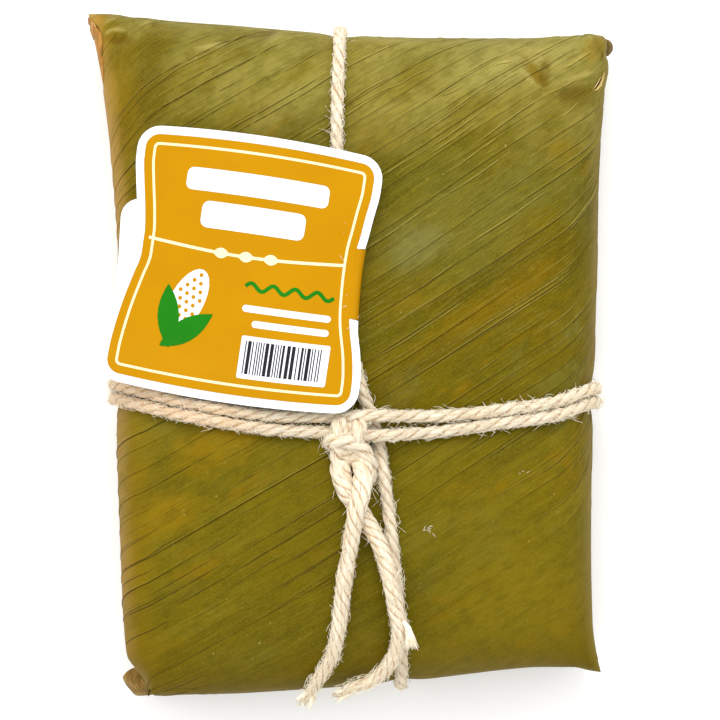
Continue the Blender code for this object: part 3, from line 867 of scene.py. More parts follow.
def lip_mesh(strips):
    """Lips along the strips: points, faces, the light and shade painted on each point, and places
    beside the pleat.
    """
    width = len(LIP_SHAPE)
    points, faces, shades, asides = [], [], [], []
    for strip in strips:
        start = len(points)
        for k, (spot, normal, power, *veins) in enumerate(strip):
            reach, vein = veins or (0.0, 0.0)
            a, b = strip[max(k - 1, 0)][0], strip[min(k + 1, len(strip) - 1)][0]
            along = (b - a) / max(np.linalg.norm(b - a), 1e-9)
            across = np.cross(normal, along)
            across /= max(np.linalg.norm(across), 1e-9)
            taper = min(1.0, k / 4, (len(strip) - 1 - k) / 4)
            height = (LIP_BASE + LIP_GAIN * power) * taper
            lift = LIP_LIFT - LIP_SINK * (1 - taper)
            for distance, rise, shade in LIP_SHAPE:
                off = distance * (0.5 + 0.5 * taper)
                points.append(spot + across * off + normal * (height * rise + lift))
                shades.append(shade * power * taper)
                off *= 1 if normal[2] > 0 else -1
                asides.append((off, reach / 100, (vein + off) / 100))
        for k in range(len(strip) - 1):
            for j in range(width - 1):
                a = start + k * width + j
                faces.append((a, a + 1, a + width + 1, a + width))
    return points, faces, shades, asides


def drawn_in(points):
    """Shape the near left and far right corners as the sheet's edge runs there."""
    out = points.copy()
    for k in range(len(points)):
        x, y, _ = points[k]
        if x < -50 and y < -77:
            edge = read_table(CORNER_NEAR_LEFT, y)
            share = float(smooth((-50 - x) / 8.5))
            out[k, 0] += (edge + 58.6) * share
        if x > 58 and y > 74:
            edge = read_table(CORNER_FAR_RIGHT, y)
            out[k, 0] += (edge - 67.2) * float(smooth((x - 58) / 9))
    return out


def soft_folds(points, normals):
    """Raise the soft ridges and press in the hollows, and give each point's rise, which the finish
    paints as highlight and shade.
    """
    out, tone = points.copy(), np.zeros(len(points))
    for route, width, rise in SOFT_FOLDS:
        line = np.array([p[:2] for p in spline([(x, y, 0) for x, y in route], 0.5)])
        low, high = line.min(axis=0) - 3 * width, line.max(axis=0) + 3 * width
        held = (points[:, 2] > SEAM_HEIGHT) & (points[:, :2] > low).all(axis=1)
        near = np.nonzero(held & (points[:, :2] < high).all(axis=1))[0]
        gaps = np.linalg.norm(points[near, None, :2] - line[None], axis=2)
        taper = np.sin(np.pi * (gaps.argmin(axis=1) + 0.5) / len(line)) ** 0.5
        lift = rise * taper * np.exp(-(gaps.min(axis=1) / width) ** 2)
        out[near] += normals[near] * lift[:, None]
        tone[near] += lift
    return out, tone


def gusset_steps(points, normals):
    """Fold the corners of both end walls in: each gusset line is the edge of a low step."""
    out = points.copy()
    for end, top, foot, lower in GUSSETS:
        run = np.subtract(foot, top)
        size = float(np.hypot(*run))
        near = np.nonzero((points[:, 1] * end > 68) & (points[:, 2] < 34))[0]
        gap = points[near][:, [0, 2]] - np.array(top)
        along = gap @ run / size ** 2
        aside = lower * (gap[:, 0] * run[1] - gap[:, 1] * run[0]) / size * np.sign(run[0])
        bow = 1.2 * np.sin(np.pi * along)
        step = smooth((aside + bow) / 0.9 + 0.5) * np.exp(-np.clip(aside, 0, None) / 7)
        step *= smooth((along + 0.15) / 0.4) * smooth((1.2 - along) / 0.25)
        steep = smooth((0.8 - np.abs(normals[near, 2])) / 0.3)
        out[near] -= normals[near] * (0.9 * step * steep)[:, None]
    return out


def crease_strips(points, faces):
    """Single creases and fold edges near the corners, laid on the finished skin."""
    tree = BVHTree.FromPolygons([Vector(p) for p in points], faces)
    strips = []
    for route, power in CREASES:
        hits = [drop(tree, p.x, p.y) for p in spline([(x, y, 0) for x, y in route], 0.5)]
        strip = [(np.array(spot), np.array(normal), power) for spot, normal in hits
                 if spot is not None]
        if len(strip) > 3:
            strips.append(strip)
    return strips


def thicken(sheet, thickness, offset, degrees):
    """Give a sheet its thickness, outward at offset 1 and about it at 0, and smooth it."""
    only(sheet)
    wall = sheet.modifiers.new("thickness", "SOLIDIFY")
    wall.thickness = thickness * MM
    wall.offset = offset
    bpy.ops.object.modifier_apply(modifier="thickness")
    bpy.ops.object.shade_smooth_by_angle(angle=math.radians(degrees))


def cut_grid(work, *steps):
    """Cut flat faces along x and y at these steps, so that they can follow a curved surface."""
    for axis, step in enumerate(steps):
        spread = [v.co[axis] for v in work.verts]
        for k in range(int(min(spread) // step), int(max(spread) // step) + 1):
            place, normal = [0, 0, 0], [0, 0, 0]
            place[axis], normal[axis] = k * step, 1
            bmesh.ops.bisect_plane(work, geom=work.verts[:] + work.edges[:] + work.faces[:],
                                   plane_co=place, plane_no=normal)


def upward_mesh(name, work):
    """Mesh of a sheet whose faces are all turned upward."""
    for face in work.faces:
        face.normal_update()
        if face.normal.z < 0:
            face.normal_flip()
        face.smooth = True
    data = bpy.data.meshes.new(name)
    work.to_mesh(data)
    work.free()
    return data


def flap(name, rows, look, veins):
    """A layer of leaf over the wrapping from rows of (place, outward), with its own vein angle."""
    width = len(rows[0])
    a = math.radians(veins)
    points = [place + out for row in rows for place, out in row]
    data = mesh_of(name, points, sheet_faces(len(rows), width))
    outward = rows[0][width // 2][1] + rows[-1][width // 2][1]
    if sum((face.normal for face in data.polygons), Vector()).dot(outward) < 0:
        data.flip_normals()
    uv = data.uv_layers.new(name="veins")
    for loop in data.loops:
        x, run = points[loop.vertex_index].x, loop.vertex_index // width * 0.8
        uv.data[loop.index].uv = ((x * math.cos(a) + run * math.sin(a)) / 100 + 1.7,
                                  (-x * math.sin(a) + run * math.cos(a)) / 100 + 0.9)
    for label, value in (("pleat", (99.0, 0.0, 0.0)), ("tones", (0.25, 0.1, 30.0)),
                         ("right_edge", 30.0), ("fold", 0.0)):
        mark(data, label, [value] * len(points))
    sheet = new_object(name, data)
    thicken(sheet, FLAP_THICKNESS, 1, LEAF_SMOOTH)
    return finish_piece(sheet, look, "leaf")


def build_flaps(tree, look):
    """Both ends folded down and tucked under the parcel, and the long overlap of the underside."""
    up = Vector((0, 0, 1))
    for name, end, veins in (("end_flap_near", -1, -58.0), ("end_flap_far", 1, 64.0)):
        shots = [(Vector((0, 120 * end, 15.6 - 0.7 * k)), Vector((0, -end, 0))) for k in range(5)]
        core = Vector((0, 74.0 * end, 12.0))
        for k in range(24):
            angle = math.pi / 2 * k / 23
            way = Vector((0, -end * math.cos(angle), math.sin(angle)))
            shots.append((core - way * 60, way))
        shots += [(Vector((0, end * (73.2 - 0.8 * k), -40)), up) for k in range(30)]
        rows = []
        for k, (start, way) in enumerate(shots):
            t = k / (len(shots) - 1)
            half = read_table([(0, 49.0), (0.3, 43.0), (0.55, 34.0), (1, 21.0)], t)
            lift = lerp(-0.4, 0.05, float(smooth(t / 0.1))) + 0.3 * float(smooth((t - 0.4) / 0.15))
            row = []
            for n in range(91):
                share = n / 45 - 1
                ragged = 0.8 * noise.noise(Vector((t * 9, share, 3.0 * end)))
                aim = start + Vector((share * half + ragged, 0, 0))
                spot = tree.ray_cast(aim, way)[0] or row[-1][0]
                row.append((spot, way * -lift))
            rows.append(row)
        flap(name, rows, look, veins)
    rows = []
    for k in range(176):
        y = -70.0 + 0.8 * k
        edge = 13.0 + 1.6 * math.sin(y / 19) + 0.7 * noise.noise(Vector((y / 5, 1, 8)))
        row = []
        for n in range(76):
            aim = Vector((lerp(-45.0, edge, n / 75), y, -40))
            lift = lerp(-0.4, 0.02, float(smooth(min(n / 8, (70.2 - abs(y)) / 6))))
            spot = tree.ray_cast(aim, up)[0] or row[-1][0]
            row.append((spot, up * -lift))
        rows.append(row)
    flap("long_overlap", rows, look, 38.0)


def stray_fibres(tree, look):
    """Short loose fibres that lie on the leaf in small clusters."""
    pick = random.Random(31)
    strands = []
    for x, y, count, spread, reach in ((19.3, -45.6, 8, 0.9, 1.7), (44.5, -31.5, 3, 0.8, 1.0)):
        for _ in range(count):
            start = Vector((x + pick.gauss(0, spread), y + pick.gauss(0, spread * 0.5), 0))
            turn, size = pick.uniform(-1.2, 0.6), reach * pick.uniform(0.4, 1.0)
            path = []
            for n in range(4):
                aim = start + Vector((math.cos(turn), math.sin(turn), 0)) * size * n / 3
                turn += pick.uniform(-0.4, 0.4)
                path.append(drop(tree, aim.x, aim.y)[0] + Vector((0, 0, 0.1)))
            strands.append((path, [0.03, 0.06, 0.06, 0.03]))
    finish_piece(tubes("stray_fibres", strands, 4), look, "twine")


def leaf_patch(name, tree, outline, lift, thickness, look):
    """A separate layer of leaf with its own edge, laid on the wrapping."""
    work = bmesh.new()
    work.faces.new([work.verts.new((x, y, 0)) for x, y in outline])
    bmesh.ops.triangulate(work, faces=work.faces)
    cut_grid(work, 1.0, 1.0)
    bmesh.ops.triangulate(work, faces=work.faces)
    for v in work.verts:
        spot = drop(tree, v.co.x, v.co.y)[0]
        v.co = Vector((v.co.x, v.co.y, (spot.z if spot else SEAM_HEIGHT) + lift)) * MM
    patch = new_object(name, upward_mesh(name, work))
    thicken(patch, thickness, 1, LEAF_SMOOTH)
    return finish_piece(patch, look, "leaf")


def band_sides(route, halves):
    """Points to the left and right of a route, at the half width given for each stop."""
    sides = []
    for k, ((x, y), half) in enumerate(zip(route, halves)):
        ax, ay = route[max(k - 1, 0)]
        bx, by = route[min(k + 1, len(route) - 1)]
        size = math.hypot(bx - ax, by - ay)
        nx, ny = -(by - ay) / size * half, (bx - ax) / size * half
        sides.append(((x + nx, y + ny), (x - nx, y - ny)))
    return sides


def edging(route, width):
    """Outline of a band along a route, narrowing to both ends."""
    ends = len(route) - 1
    sides = band_sides(route, [width / 2 * (0.25 + 0.75 * math.sin(math.pi * k / ends))
                               for k in range(ends + 1)])
    return [right for _, right in sides] + [left for left, _ in sides[::-1]]


def curled_lobe(name, outline, centre, top, bottom, rings, swell, look):
    """A rolled end of leaf seen from above: rounded folds one inside the other."""
    loop = spline(outline + outline[:1], 0.35)[:-1]
    count, steps = len(loop), 26
    middle = Vector(centre)
    points = [Vector((middle.x, middle.y, top))]
    for k in range(1, steps + 1):
        r = k / steps
        for n, p in enumerate(loop):
            flat = middle.lerp(Vector((p.x, p.y)), r)
            skew = 0.35 * math.sin(n * math.tau / count)
            wave = swell * abs(math.sin(math.pi * rings * r + skew)) * (1 - r ** 6)
            points.append(Vector((flat.x, flat.y, lerp(top, p.z, r ** 1.7) + wave)))
    for k in range(1, 5):
        for p in loop:
            flat = middle.lerp(Vector((p.x, p.y)), 1 - 0.05 * k * k)
            points.append(Vector((flat.x, flat.y, lerp(p.z, bottom, k / 4))))
    points.append(Vector((middle.x, middle.y, bottom)))
    rows = steps + 4
    faces = [(0, 1 + n, 1 + (n + 1) % count) for n in range(count)]
    for k in range(rows - 1):
        a, b = 1 + k * count, 1 + (k + 1) * count
        faces += [(a + n, b + n, b + (n + 1) % count, a + (n + 1) % count) for n in range(count)]
    last = 1 + (rows - 1) * count
    faces += [(len(points) - 1, last + (n + 1) % count, last + n) for n in range(count)]
    data = mesh_of(name, points, faces)
    face_outward(data)
    return finish_piece(new_object(name, data), look, "leaf")


def build_corners(tree, dry, brown, tan, pale, dark):
    """Folded ears, rolled ends and slits at the corners of the wrapping; each slit is a dark sheet
    of painted shadow.
    """
    leaf_patch("ear_side_far_left", tree, EAR_SIDE, 0.2, 0.25, dry)
    leaf_patch("ear_rim_far_left", tree, EAR_RIM, 0.08, 0.2, dry)
    # Dark sheets in the slits: painted shadow of the gaps
    leaf_patch("ear_slit_painted_shadow", tree, lens(-66.6, 84.5, 3.2, 0.75, 42), 0.42, 0.05, dark)
    leaf_patch("ear_slit_edge", tree, lens(-66.9, 84.95, 1.6, 0.45, 42), 0.50, 0.06, pale)
    leaf_patch("far_right_slit_painted_shadow", tree, lens(63.6, 69.5, 4.0, 0.75, -33), 0.12, 0.05, dark)
    leaf_patch("slit_lip_far_right", tree, edging(SLIT_LIP, 0.5), 0.14, 0.22, pale)
    leaf_patch("slit_edge_far_right", tree, edging(SLIT_EDGE, 0.26), 0.13, 0.1, pale)
    curled_lobe("curl_near_left", CURL_NEAR_LEFT, (-53.2, -85.4), 16.4, 5.0, 6.4, 0.4, tan)
    curled_lobe("curl_far_right", CURL_FAR_RIGHT, (65.0, 79.4), 15.5, 6.0, 1.6, 0.4, brown)


def skin_sheet(us, vs, top):
    """Top or base sheet with its relief: points, outward directions and fields of its patterns."""
    grid = parcel_sheet(us, vs, top)
    step_s = np.linalg.norm(np.diff(grid, axis=1), axis=2)
    step_t = np.linalg.norm(np.diff(grid, axis=0), axis=2)
    s = np.pad(np.cumsum(step_s, axis=1), ((0, 0), (1, 0)))
    t = np.pad(np.cumsum(step_t, axis=0), ((1, 0), (0, 0)))
    s -= s[:, len(us) // 2][:, None]
    t -= t[len(vs) // 2, :][None, :]
    normal = np.cross(np.gradient(grid, axis=1), np.gradient(grid, axis=0))
    normal /= np.maximum(np.linalg.norm(normal, axis=2, keepdims=True), 1e-9)
    if not top:
        s = np.where(s < 0, -HALF_ROUND - s, HALF_ROUND - s)
        normal = -normal
    p, q = vein_frame(s, t)
    relief, nearest, strength, above, below = pleat_field(p, q)
    rim = smooth(np.minimum(1 - np.abs(us)[None, :], 1 - np.abs(vs)[:, None]) / 0.02)
    flat = 1.0 if top else smooth((grid[..., 2] - 0.2) / 6)
    wave = 0.30 * np.sin(p / 23 + q / 11) + 0.22 * np.sin(p / 14 - q / 17 + 2)
    far = smooth((t - 48) / 25)
    wave += far * (0.20 * np.sin(p / 3.6 + 1.6 * np.sin(q / 6.1)) * np.sin(q / 4.3 + p / 9.0)
                   + 0.16 * np.sin(p / 6.5 - q / 3.1 + 1.3 * np.sin(p / 11.0)))
    grid = grid + normal * ((relief + 0.6 * wave - 0.1) * rim * flat)[..., None]
    left = grid[..., 0] - np.array([read_table(LEFT_SIDE, v) for v in vs])[:, None]
    right = np.array([read_table(RIGHT_SIDE, v) for v in vs])[:, None] - grid[..., 0]
    fields = np.stack([nearest, strength, p / 100, q / 100, above, below, left, right], axis=-1)
    return grid.reshape(-1, 3), normal.reshape(-1, 3), fields.reshape(-1, 8)


def add_lips(points, normals, fields, faces):
    """The skin with its fold lips: points, fields, faces and the light and shade painted on each
    lip.
    """
    shape, start = (SKIN_ALONG, SKIN_ACROSS), len(points)
    strips = []
    for part in (slice(0, start // 2), slice(start // 2, start)):
        p, q = [fields[part, k].reshape(shape) * 100 for k in (2, 3)]
        strips += fold_lips(points[part].reshape(*shape, 3), normals[part].reshape(*shape, 3),
                            p, q, UNDERSIDE + 0.4)
    on_pleats = len(LIP_SHAPE) * sum(len(strip) for strip in strips)
    strips += crease_strips(points, faces)
    lips, lip_faces, shades, asides = lip_mesh(strips)
    tree = near_tree(points)
    lip_fields = np.zeros((len(lips), fields.shape[1]))
    for k, spot in enumerate(lips):
        near = tree.find_n(spot, 4)
        shares = np.array([1 / (gap + 1e-3) ** 2 for _, _, gap in near])
        lip_fields[k] = shares @ fields[[owner for _, owner, _ in near]] / shares.sum()
    lip_fields[:, 1] = 0.0
    lip_fields[:on_pleats, [0, 2, 3]] = np.array(asides)[:on_pleats]
    faces = faces + [tuple(start + k for k in face) for face in lip_faces]
    return (np.concatenate([points, np.array(lips)]), np.concatenate([fields, lip_fields]),
            faces, np.concatenate([np.zeros(start), np.array(shades)]))


def build_leaf(lines):
    """The wrapping: one closed skin with pleats and dents under the twine, and its fold lips."""
    us = even_spacing(SIDE_POWER, SKIN_HALF[0], SKIN_ACROSS)
    vs = even_spacing(END_POWER, SKIN_HALF[1], SKIN_ALONG)
    points, normals, fields = [np.concatenate(pair) for pair in
                               zip(skin_sheet(us, vs, True), skin_sheet(us, vs, False))]
    points = press(points, normals, lines)
    points[:, 2] = np.maximum(points[:, 2], UNDERSIDE)
    points, folds = soft_folds(drawn_in(gusset_steps(points, normals)), normals)
    faces = (sheet_faces(SKIN_ALONG, SKIN_ACROSS)
             + sheet_faces(SKIN_ALONG, SKIN_ACROSS, SKIN_ALONG * SKIN_ACROSS, True))
    fields = np.column_stack([fields, folds])
    points, fields, faces, shade = add_lips(points, normals, fields, faces)
    data = bpy.data.meshes.new("leaf_wrap")
    data.from_pydata((points * MM).tolist(), [], faces)
    uv = data.uv_layers.new(name="veins")
    corner = np.empty(len(data.loops), dtype=np.int32)
    data.loops.foreach_get("vertex_index", corner)
    uv.data.foreach_set("uv", fields[corner][:, 2:4].astype(np.float32).ravel())
    mark(data, "pleat", np.column_stack([fields[:, :2], shade]))
    mark(data, "tones", np.column_stack([fields[:, 4:6], np.minimum(fields[:, 6], 30.0)]))
    mark(data, "right_edge", fields[:, 7])
    mark(data, "fold", fields[:, 8])
    work = bmesh.new()
    work.from_mesh(data)
    bmesh.ops.remove_doubles(work, verts=work.verts, dist=1e-6)
    bmesh.ops.recalc_face_normals(work, faces=work.faces)
    for face in work.faces:
        face.smooth = True
    islands_outward(work)
    work.to_mesh(data)
    work.free()
    return new_object("leaf_wrap", data)


def islands_outward(work, skin_faces=20000):
    """Turn the open fold lips, all smaller than the skin, to face away from the parcel."""
    seen = set()
    for first in work.faces:
        if first in seen:
            continue
        island, queue = [], [first]
        seen.add(first)
        while queue:
            face = queue.pop()
            island.append(face)
            for edge in face.edges:
                for other in edge.link_faces:
                    if other not in seen:
                        seen.add(other)
                        queue.append(other)
        if len(island) > skin_faces:
            continue
        outward = 0.0
        for face in island:
            middle = face.calc_center_median()
            core = Vector((max(-0.03, min(0.03, middle.x)), max(-0.06, min(0.06, middle.y)), 0.02))
            outward += face.normal.dot(middle - core) * face.calc_area()
        if outward < 0:
            bmesh.ops.reverse_faces(work, faces=island)


# Tag

def turned(centre, degrees, x, y):
    a = math.radians(degrees)
    return (centre[0] + x * math.cos(a) + y * math.sin(a),
            centre[1] - x * math.sin(a) + y * math.cos(a))


def corner_inset(y, half, radius):
    depth = radius - (half - abs(y))
    if depth <= 0:
        return 0.0
    return radius - math.sqrt(max(radius ** 2 - depth ** 2, 0.0))


def back_height(x):
    return TAG_BASE - TAG_FALL * x * x


def front_height(x, y):
    open_part = float(smooth((x + 38) / 34))
    prop = 1.3 * float(smooth((-y - 18) / 14)) * (1 - 0.6 * open_part)
    return back_height(x) + TAG_REST + (TAG_OPENING - TAG_REST) * open_part + prop


def on_front(x, y, above=0.0):
    """Point of the front panel's upper face for a place on the flat card."""
    arch = FRONT_ARCH * (1 - (x / 32) ** 2) * y / FRONT_HALF
    place = turned(FRONT_CENTRE, FRONT_TURN, x, y + arch)
    return Vector((*place, front_height(place[0], y) + CARD / 2 + above))


def front_limits(y, inset):
    """Left and right edge of the front panel at height y, drawn in by an inset."""
    half = FRONT_HALF - inset
    if abs(y) > half:
        return None
    corner = corner_inset(y, half, max(FRONT_CORNER - inset, 0.8))
    return (read_table(FRONT_LEFT, y) + inset + corner,
            read_table(FRONT_RIGHT, y) - inset - corner)


def card_rows(half, corner, extra):
    """Heights of a panel's rows: even ones, and closer ones round the corners."""
    count = int(half / 2)
    rows = [k * 2.0 for k in range(-count, count + 1) if abs(k * 2.0) < half - corner]
    for k in range(7):
        y = half - corner + corner * math.sin(math.radians(15 * k))
        rows += [y, -y]
    return sorted(set(round(y, 3) for y in rows + list(extra)))


def panel_rows(hinge, half, corner, gap):
    """Rows of a panel, and those of them that lie on its hinge, which starts a gap away."""
    hinge = [lerp(*hinge, k / 9) for k in range(10)]
    held = [round(y, 3) for y in hinge]
    rows = card_rows(half, corner, hinge + [hinge[0] - gap, hinge[-1] + gap])
    return [y for y in rows if y in held or not hinge[0] <= y <= hinge[-1]], held


def face_one_way(sheet):
    """Turn all the faces of an open sheet to the same side."""
    only(sheet)
    bpy.ops.object.mode_set(mode="EDIT")
    bpy.ops.mesh.select_all(action="SELECT")
    bpy.ops.mesh.normals_make_consistent(inside=False)
    bpy.ops.object.mode_set(mode="OBJECT")


def build_card():
    """Folded card: front panel, strip round the strand and back panel, with thickness."""
    columns = 41
    fold = TAG_OPENING / 2
    points, faces, front_edge, back_edge = [], [], [], []

    def add_row(row, joined):
        points.extend(row)
        if joined:
            start = len(points) - 2 * columns
            faces.extend((start + k, start + k + 1, start + columns + k + 1, start + columns + k)
                         for k in range(columns - 1))

    rows, held = panel_rows(FRONT_HINGE, FRONT_HALF, FRONT_CORNER, 0.25)
    for y in rows:
        low, high = front_limits(y, 0.0)
        if y in held:
            high -= fold
        row = []
        for k in range(columns):
            p = on_front(lerp(low, high, k / (columns - 1)), y)
            row.append(p - Vector((0, 0, CARD / 2)))
        add_row(row, y != rows[0])
        if y in held:
            front_edge.append(len(points) - 1)

    rows, held = panel_rows(BACK_HINGE, BACK_HALF[1], BACK_CORNER, 0.3)
    for y in rows:
        inset = corner_inset(y, BACK_HALF[1], BACK_CORNER)
        first = turned(BACK_CENTRE, BACK_TURN, -BACK_HALF[0] + inset, y)
        last = turned(BACK_CENTRE, BACK_TURN, BACK_HALF[0] - inset, y)
        if y in held:
            last = points[front_edge[held.index(y)]][:2]
        row = []
        for k in range(columns):
            t = k / (columns - 1)
            x = lerp(first[0], last[0], t)
            row.append(Vector((x, lerp(first[1], last[1], t), back_height(x))))
        add_row(row, y != rows[0])
        if y in held:
            back_edge.append(len(points) - 1)

    turn = math.radians(FOLD_TURN)
    out, up = Vector((math.cos(turn), -math.sin(turn), 0)), Vector((0, 0, 1))
    steps = 14
    round_strand = [out * math.sin(math.pi * k / steps) + up * math.cos(math.pi * k / steps)
                    for k in range(steps + 1)]
    strips, folds = [], []
    for top, low in zip(front_edge, back_edge):
        a, b = points[top], points[low]
        middle, half = (a + b) / 2, (a.z - b.z) / 2
        first = len(points)
        points += [middle + way * half for way in round_strand[1:-1]]
        strips.append([top, *range(first, len(points)), low])
        outer = half + CARD / 2 + 0.08
        folds.append([middle + way * outer for way in round_strand])
    for here, after in zip(strips, strips[1:]):
        for k in range(steps):
            faces.append((here[k], here[k + 1], after[k + 1], after[k]))

    card = new_object("tag_card", mesh_of("tag_card", points, faces))
    face_one_way(card)
    thicken(card, CARD, 0, CARD_SMOOTH)
    return card, folds


def print_round_fold(folds, look):
    """The printed field carried on over the fold, as a thin sheet round it."""
    data = mesh_of("print_fold", [p for row in folds for p in row],
                   sheet_faces(len(folds), len(folds[0])))
    fold = new_object("print_fold", data)
    face_one_way(fold)
    if data.polygons[0].normal.z < 0:
        data.flip_normals()
    return finish_piece(fold, look, "card")


def print_sheet(name, shapes, look, above):
    """Printed fields on the front panel, each a simple outline, as a thin sheet on the card."""
    work = bmesh.new()
    for outline in shapes:
        work.faces.new([work.verts.new((x, y, 0)) for x, y in outline])
    bmesh.ops.triangulate(work, faces=work.faces)
    cut_grid(work, 2.0, 3.0)
    bmesh.ops.remove_doubles(work, verts=work.verts, dist=0.01)
    bmesh.ops.triangulate(work, faces=work.faces)
    for v in work.verts:
        v.co = on_front(v.co.x, v.co.y, above) * MM
    return finish_piece(new_object(name, upward_mesh(name, work)), look, "card")


def placed(outline, x, y, degrees=0.0):
    a = math.radians(degrees)
    return [(x + px * math.cos(a) - py * math.sin(a), y + px * math.sin(a) + py * math.cos(a))
            for px, py in outline]


def bar(x, y, width, height, degrees=0.0, corner=None):
    """Rounded bar about its centre."""
    r = min(width, height) / 2 if corner is None else corner
    outline = []
    for cx, cy, start in ((1, 1, 0), (-1, 1, 90), (-1, -1, 180), (1, -1, 270)):
        for k in range(5):
            a = math.radians(start + 22.5 * k)
            outline.append((cx * (width / 2 - r) + r * math.cos(a),
                            cy * (height / 2 - r) + r * math.sin(a)))
    return placed(outline, x, y, degrees)


def lens(x, y, length, width, degrees, pointed=True):
    """Leaf shape or ellipse about its centre, its length along y before it is turned."""
    outline = []
    for k in range(24):
        a = math.tau * k / 24
        half = math.sin(a) ** 2 if pointed else abs(math.sin(a))
        outline.append((width / 2 * math.copysign(half, math.sin(a)), length / 2 * math.cos(a)))
    return placed([p for k, p in enumerate(outline) if k != 12 or not pointed], x, y, degrees)


def ribbon(route, width):
    """Even band along a route, as one quad for each stretch."""
    sides = band_sides(route, [width / 2] * len(route))
    return [[b, d, c, a] for (a, b), (c, d) in zip(sides, sides[1:])]


def frame_band(outside, inner):
    """Quads between two drawn-in outlines of the panel."""
    def at(y, inset, side):
        y *= FRONT_HALF - inset
        return (front_limits(y, inset)[side], y)

    rows = [math.sin(math.pi * (k / 40 - 0.5)) for k in range(41)]
    quads = [[at(a, outside, side), at(b, outside, side), at(b, inner, side), at(a, inner, side)]
             for side in (0, 1) for a, b in zip(rows, rows[1:])]
    return quads + [[at(y, outside, 0), at(y, outside, 1), at(y, inner, 1), at(y, inner, 0)]
                    for y in (-1, 1)]


def field_outline(inset):
    """Outline of the panel drawn in by an inset, anticlockwise."""
    half = FRONT_HALF - inset
    corner = max(FRONT_CORNER - inset, 0.8)
    rows = card_rows(half, corner, FRONT_HINGE)
    left, right = [], []
    for y in rows:
        low, high = front_limits(max(min(y, half), -half), inset)
        left.append((low, y))
        right.append((high, y))
    return right + left[::-1]


# Finishes

def node_tree(name):
    look = bpy.data.materials.new(name)
    look.use_nodes = True
    return look, look.node_tree, look.node_tree.nodes["Principled BSDF"]


def add(tree, kind, **values):
    node = tree.nodes.new(kind)
    for key, value in values.items():
        if hasattr(node, key):
            setattr(node, key, value)
        else:
            sets(node, **{key: value})
    return node


def sets(node, **values):
    """Give a node's inputs their values; an underscore stands for a space in a name."""
    for key, value in values.items():
        node.inputs[key.replace("_", " ")].default_value = value


def maths(tree, operation, a, b=None, c=None):
    node = tree.nodes.new("ShaderNodeMath")
    node.operation = operation
    for k, value in enumerate((a, b, c)):
        if value is None:
            continue
        if isinstance(value, (int, float)):
            node.inputs[k].default_value = value
        else:
            tree.links.new(value, node.inputs[k])
    return node.outputs[0]


def times(tree, a, b):
    return maths(tree, "MULTIPLY", a, b)


def scaled(tree, value, factor, shift):
    """A value times a factor, plus a shift."""
    return maths(tree, "MULTIPLY_ADD", value, factor, shift)


def axes_of(tree, vector):
    """The x, y and z sockets of a vector."""
    split = tree.nodes.new("ShaderNodeSeparateXYZ")
    tree.links.new(vector, split.inputs[0])
    return split.outputs[:3]


def ramp(tree, value, low, high):
    """0 below low, 1 above high, smooth between."""
    node = add(tree, "ShaderNodeMapRange", interpolation_type="SMOOTHSTEP", From_Min=low,
               From_Max=high)
    tree.links.new(value, node.inputs["Value"])
    return node.outputs["Result"]


def mix(tree, share, a, b):
    node = tree.nodes.new("ShaderNodeMix")
    node.data_type = "RGBA"
    for socket, value in ((node.inputs[0], share), (node.inputs[6], a), (node.inputs[7], b)):
        if isinstance(value, (int, float, tuple)):
            socket.default_value = value
        else:
            tree.links.new(value, socket)
    return node.outputs[2]


def stretched_noise(tree, source, scale, detail=3.0, rough=0.55, offset=(0, 0, 0)):
    """Cloudy noise with its own fineness along each axis."""
    node = add(tree, "ShaderNodeMapping", Scale=scale, Location=offset)
    tree.links.new(source, node.inputs["Vector"])
    cloud = add(tree, "ShaderNodeTexNoise", Scale=1.0, Detail=detail, Roughness=rough)
    tree.links.new(node.outputs[0], cloud.inputs["Vector"])
    return cloud.outputs["Fac"]


def effect(name, inputs, outputs):
    """A new shader group with named sockets, and its inputs and outputs as seen inside."""
    group = bpy.data.node_groups.new(name, "ShaderNodeTree")
    for direction, sockets in (("INPUT", inputs), ("OUTPUT", outputs)):
        for label, kind in sockets.items():
            group.interface.new_socket(label, in_out=direction, socket_type="NodeSocket" + kind)
    enter, leave = group.nodes.new("NodeGroupInput"), group.nodes.new("NodeGroupOutput")
    return group, enter.outputs, leave.inputs


def apply_effect(tree, group, **values):
    """Place a group in a material with its own values, and give its outputs."""
    node = tree.nodes.new("ShaderNodeGroup")
    node.node_tree = group
    for label, value in values.items():
        if isinstance(value, (int, float, tuple)):
            node.inputs[label].default_value = value
        else:
            tree.links.new(value, node.inputs[label])
    return node.outputs


def bump_from(tree, shader, height, strength, distance):
    """Let a height roughen the surface of a finish."""
    bump = add(tree, "ShaderNodeBump", Strength=strength, Distance=distance)
    tree.links.new(height, bump.inputs["Height"])
    tree.links.new(bump.outputs[0], shader.inputs["Normal"])


def tint(tree, colour, share, towards, most=1.0):
    """Colour drawn towards another one by a mask."""
    return mix(tree, times(tree, share, most), colour, linear(*towards))


def soft_patch_effect():
    """Soft-edged patch of colour, ragged by a noise, about a place on the leaf."""
    group, enter, leave = effect("soft_patch", {"Where": "Vector", "Centre": "Vector",
                                                  "Turn": "Vector", "Reach": "Vector",
                                                  "Cloud": "Float"}, {"Mask": "Float"})
    local = add(group, "ShaderNodeMapping", vector_type="TEXTURE")
    for label, socket in (("Where", "Vector"), ("Centre", "Location"), ("Turn", "Rotation"),
                          ("Reach", "Scale")):
        group.links.new(enter[label], local.inputs[socket])
    span = add(group, "ShaderNodeVectorMath", operation="LENGTH")
    group.links.new(local.outputs[0], span.inputs[0])
    ragged = scaled(group, enter["Cloud"], 1.6, span.outputs["Value"])
    group.links.new(ramp(group, ragged, 2.05, 1.05), leave["Mask"])
    return group


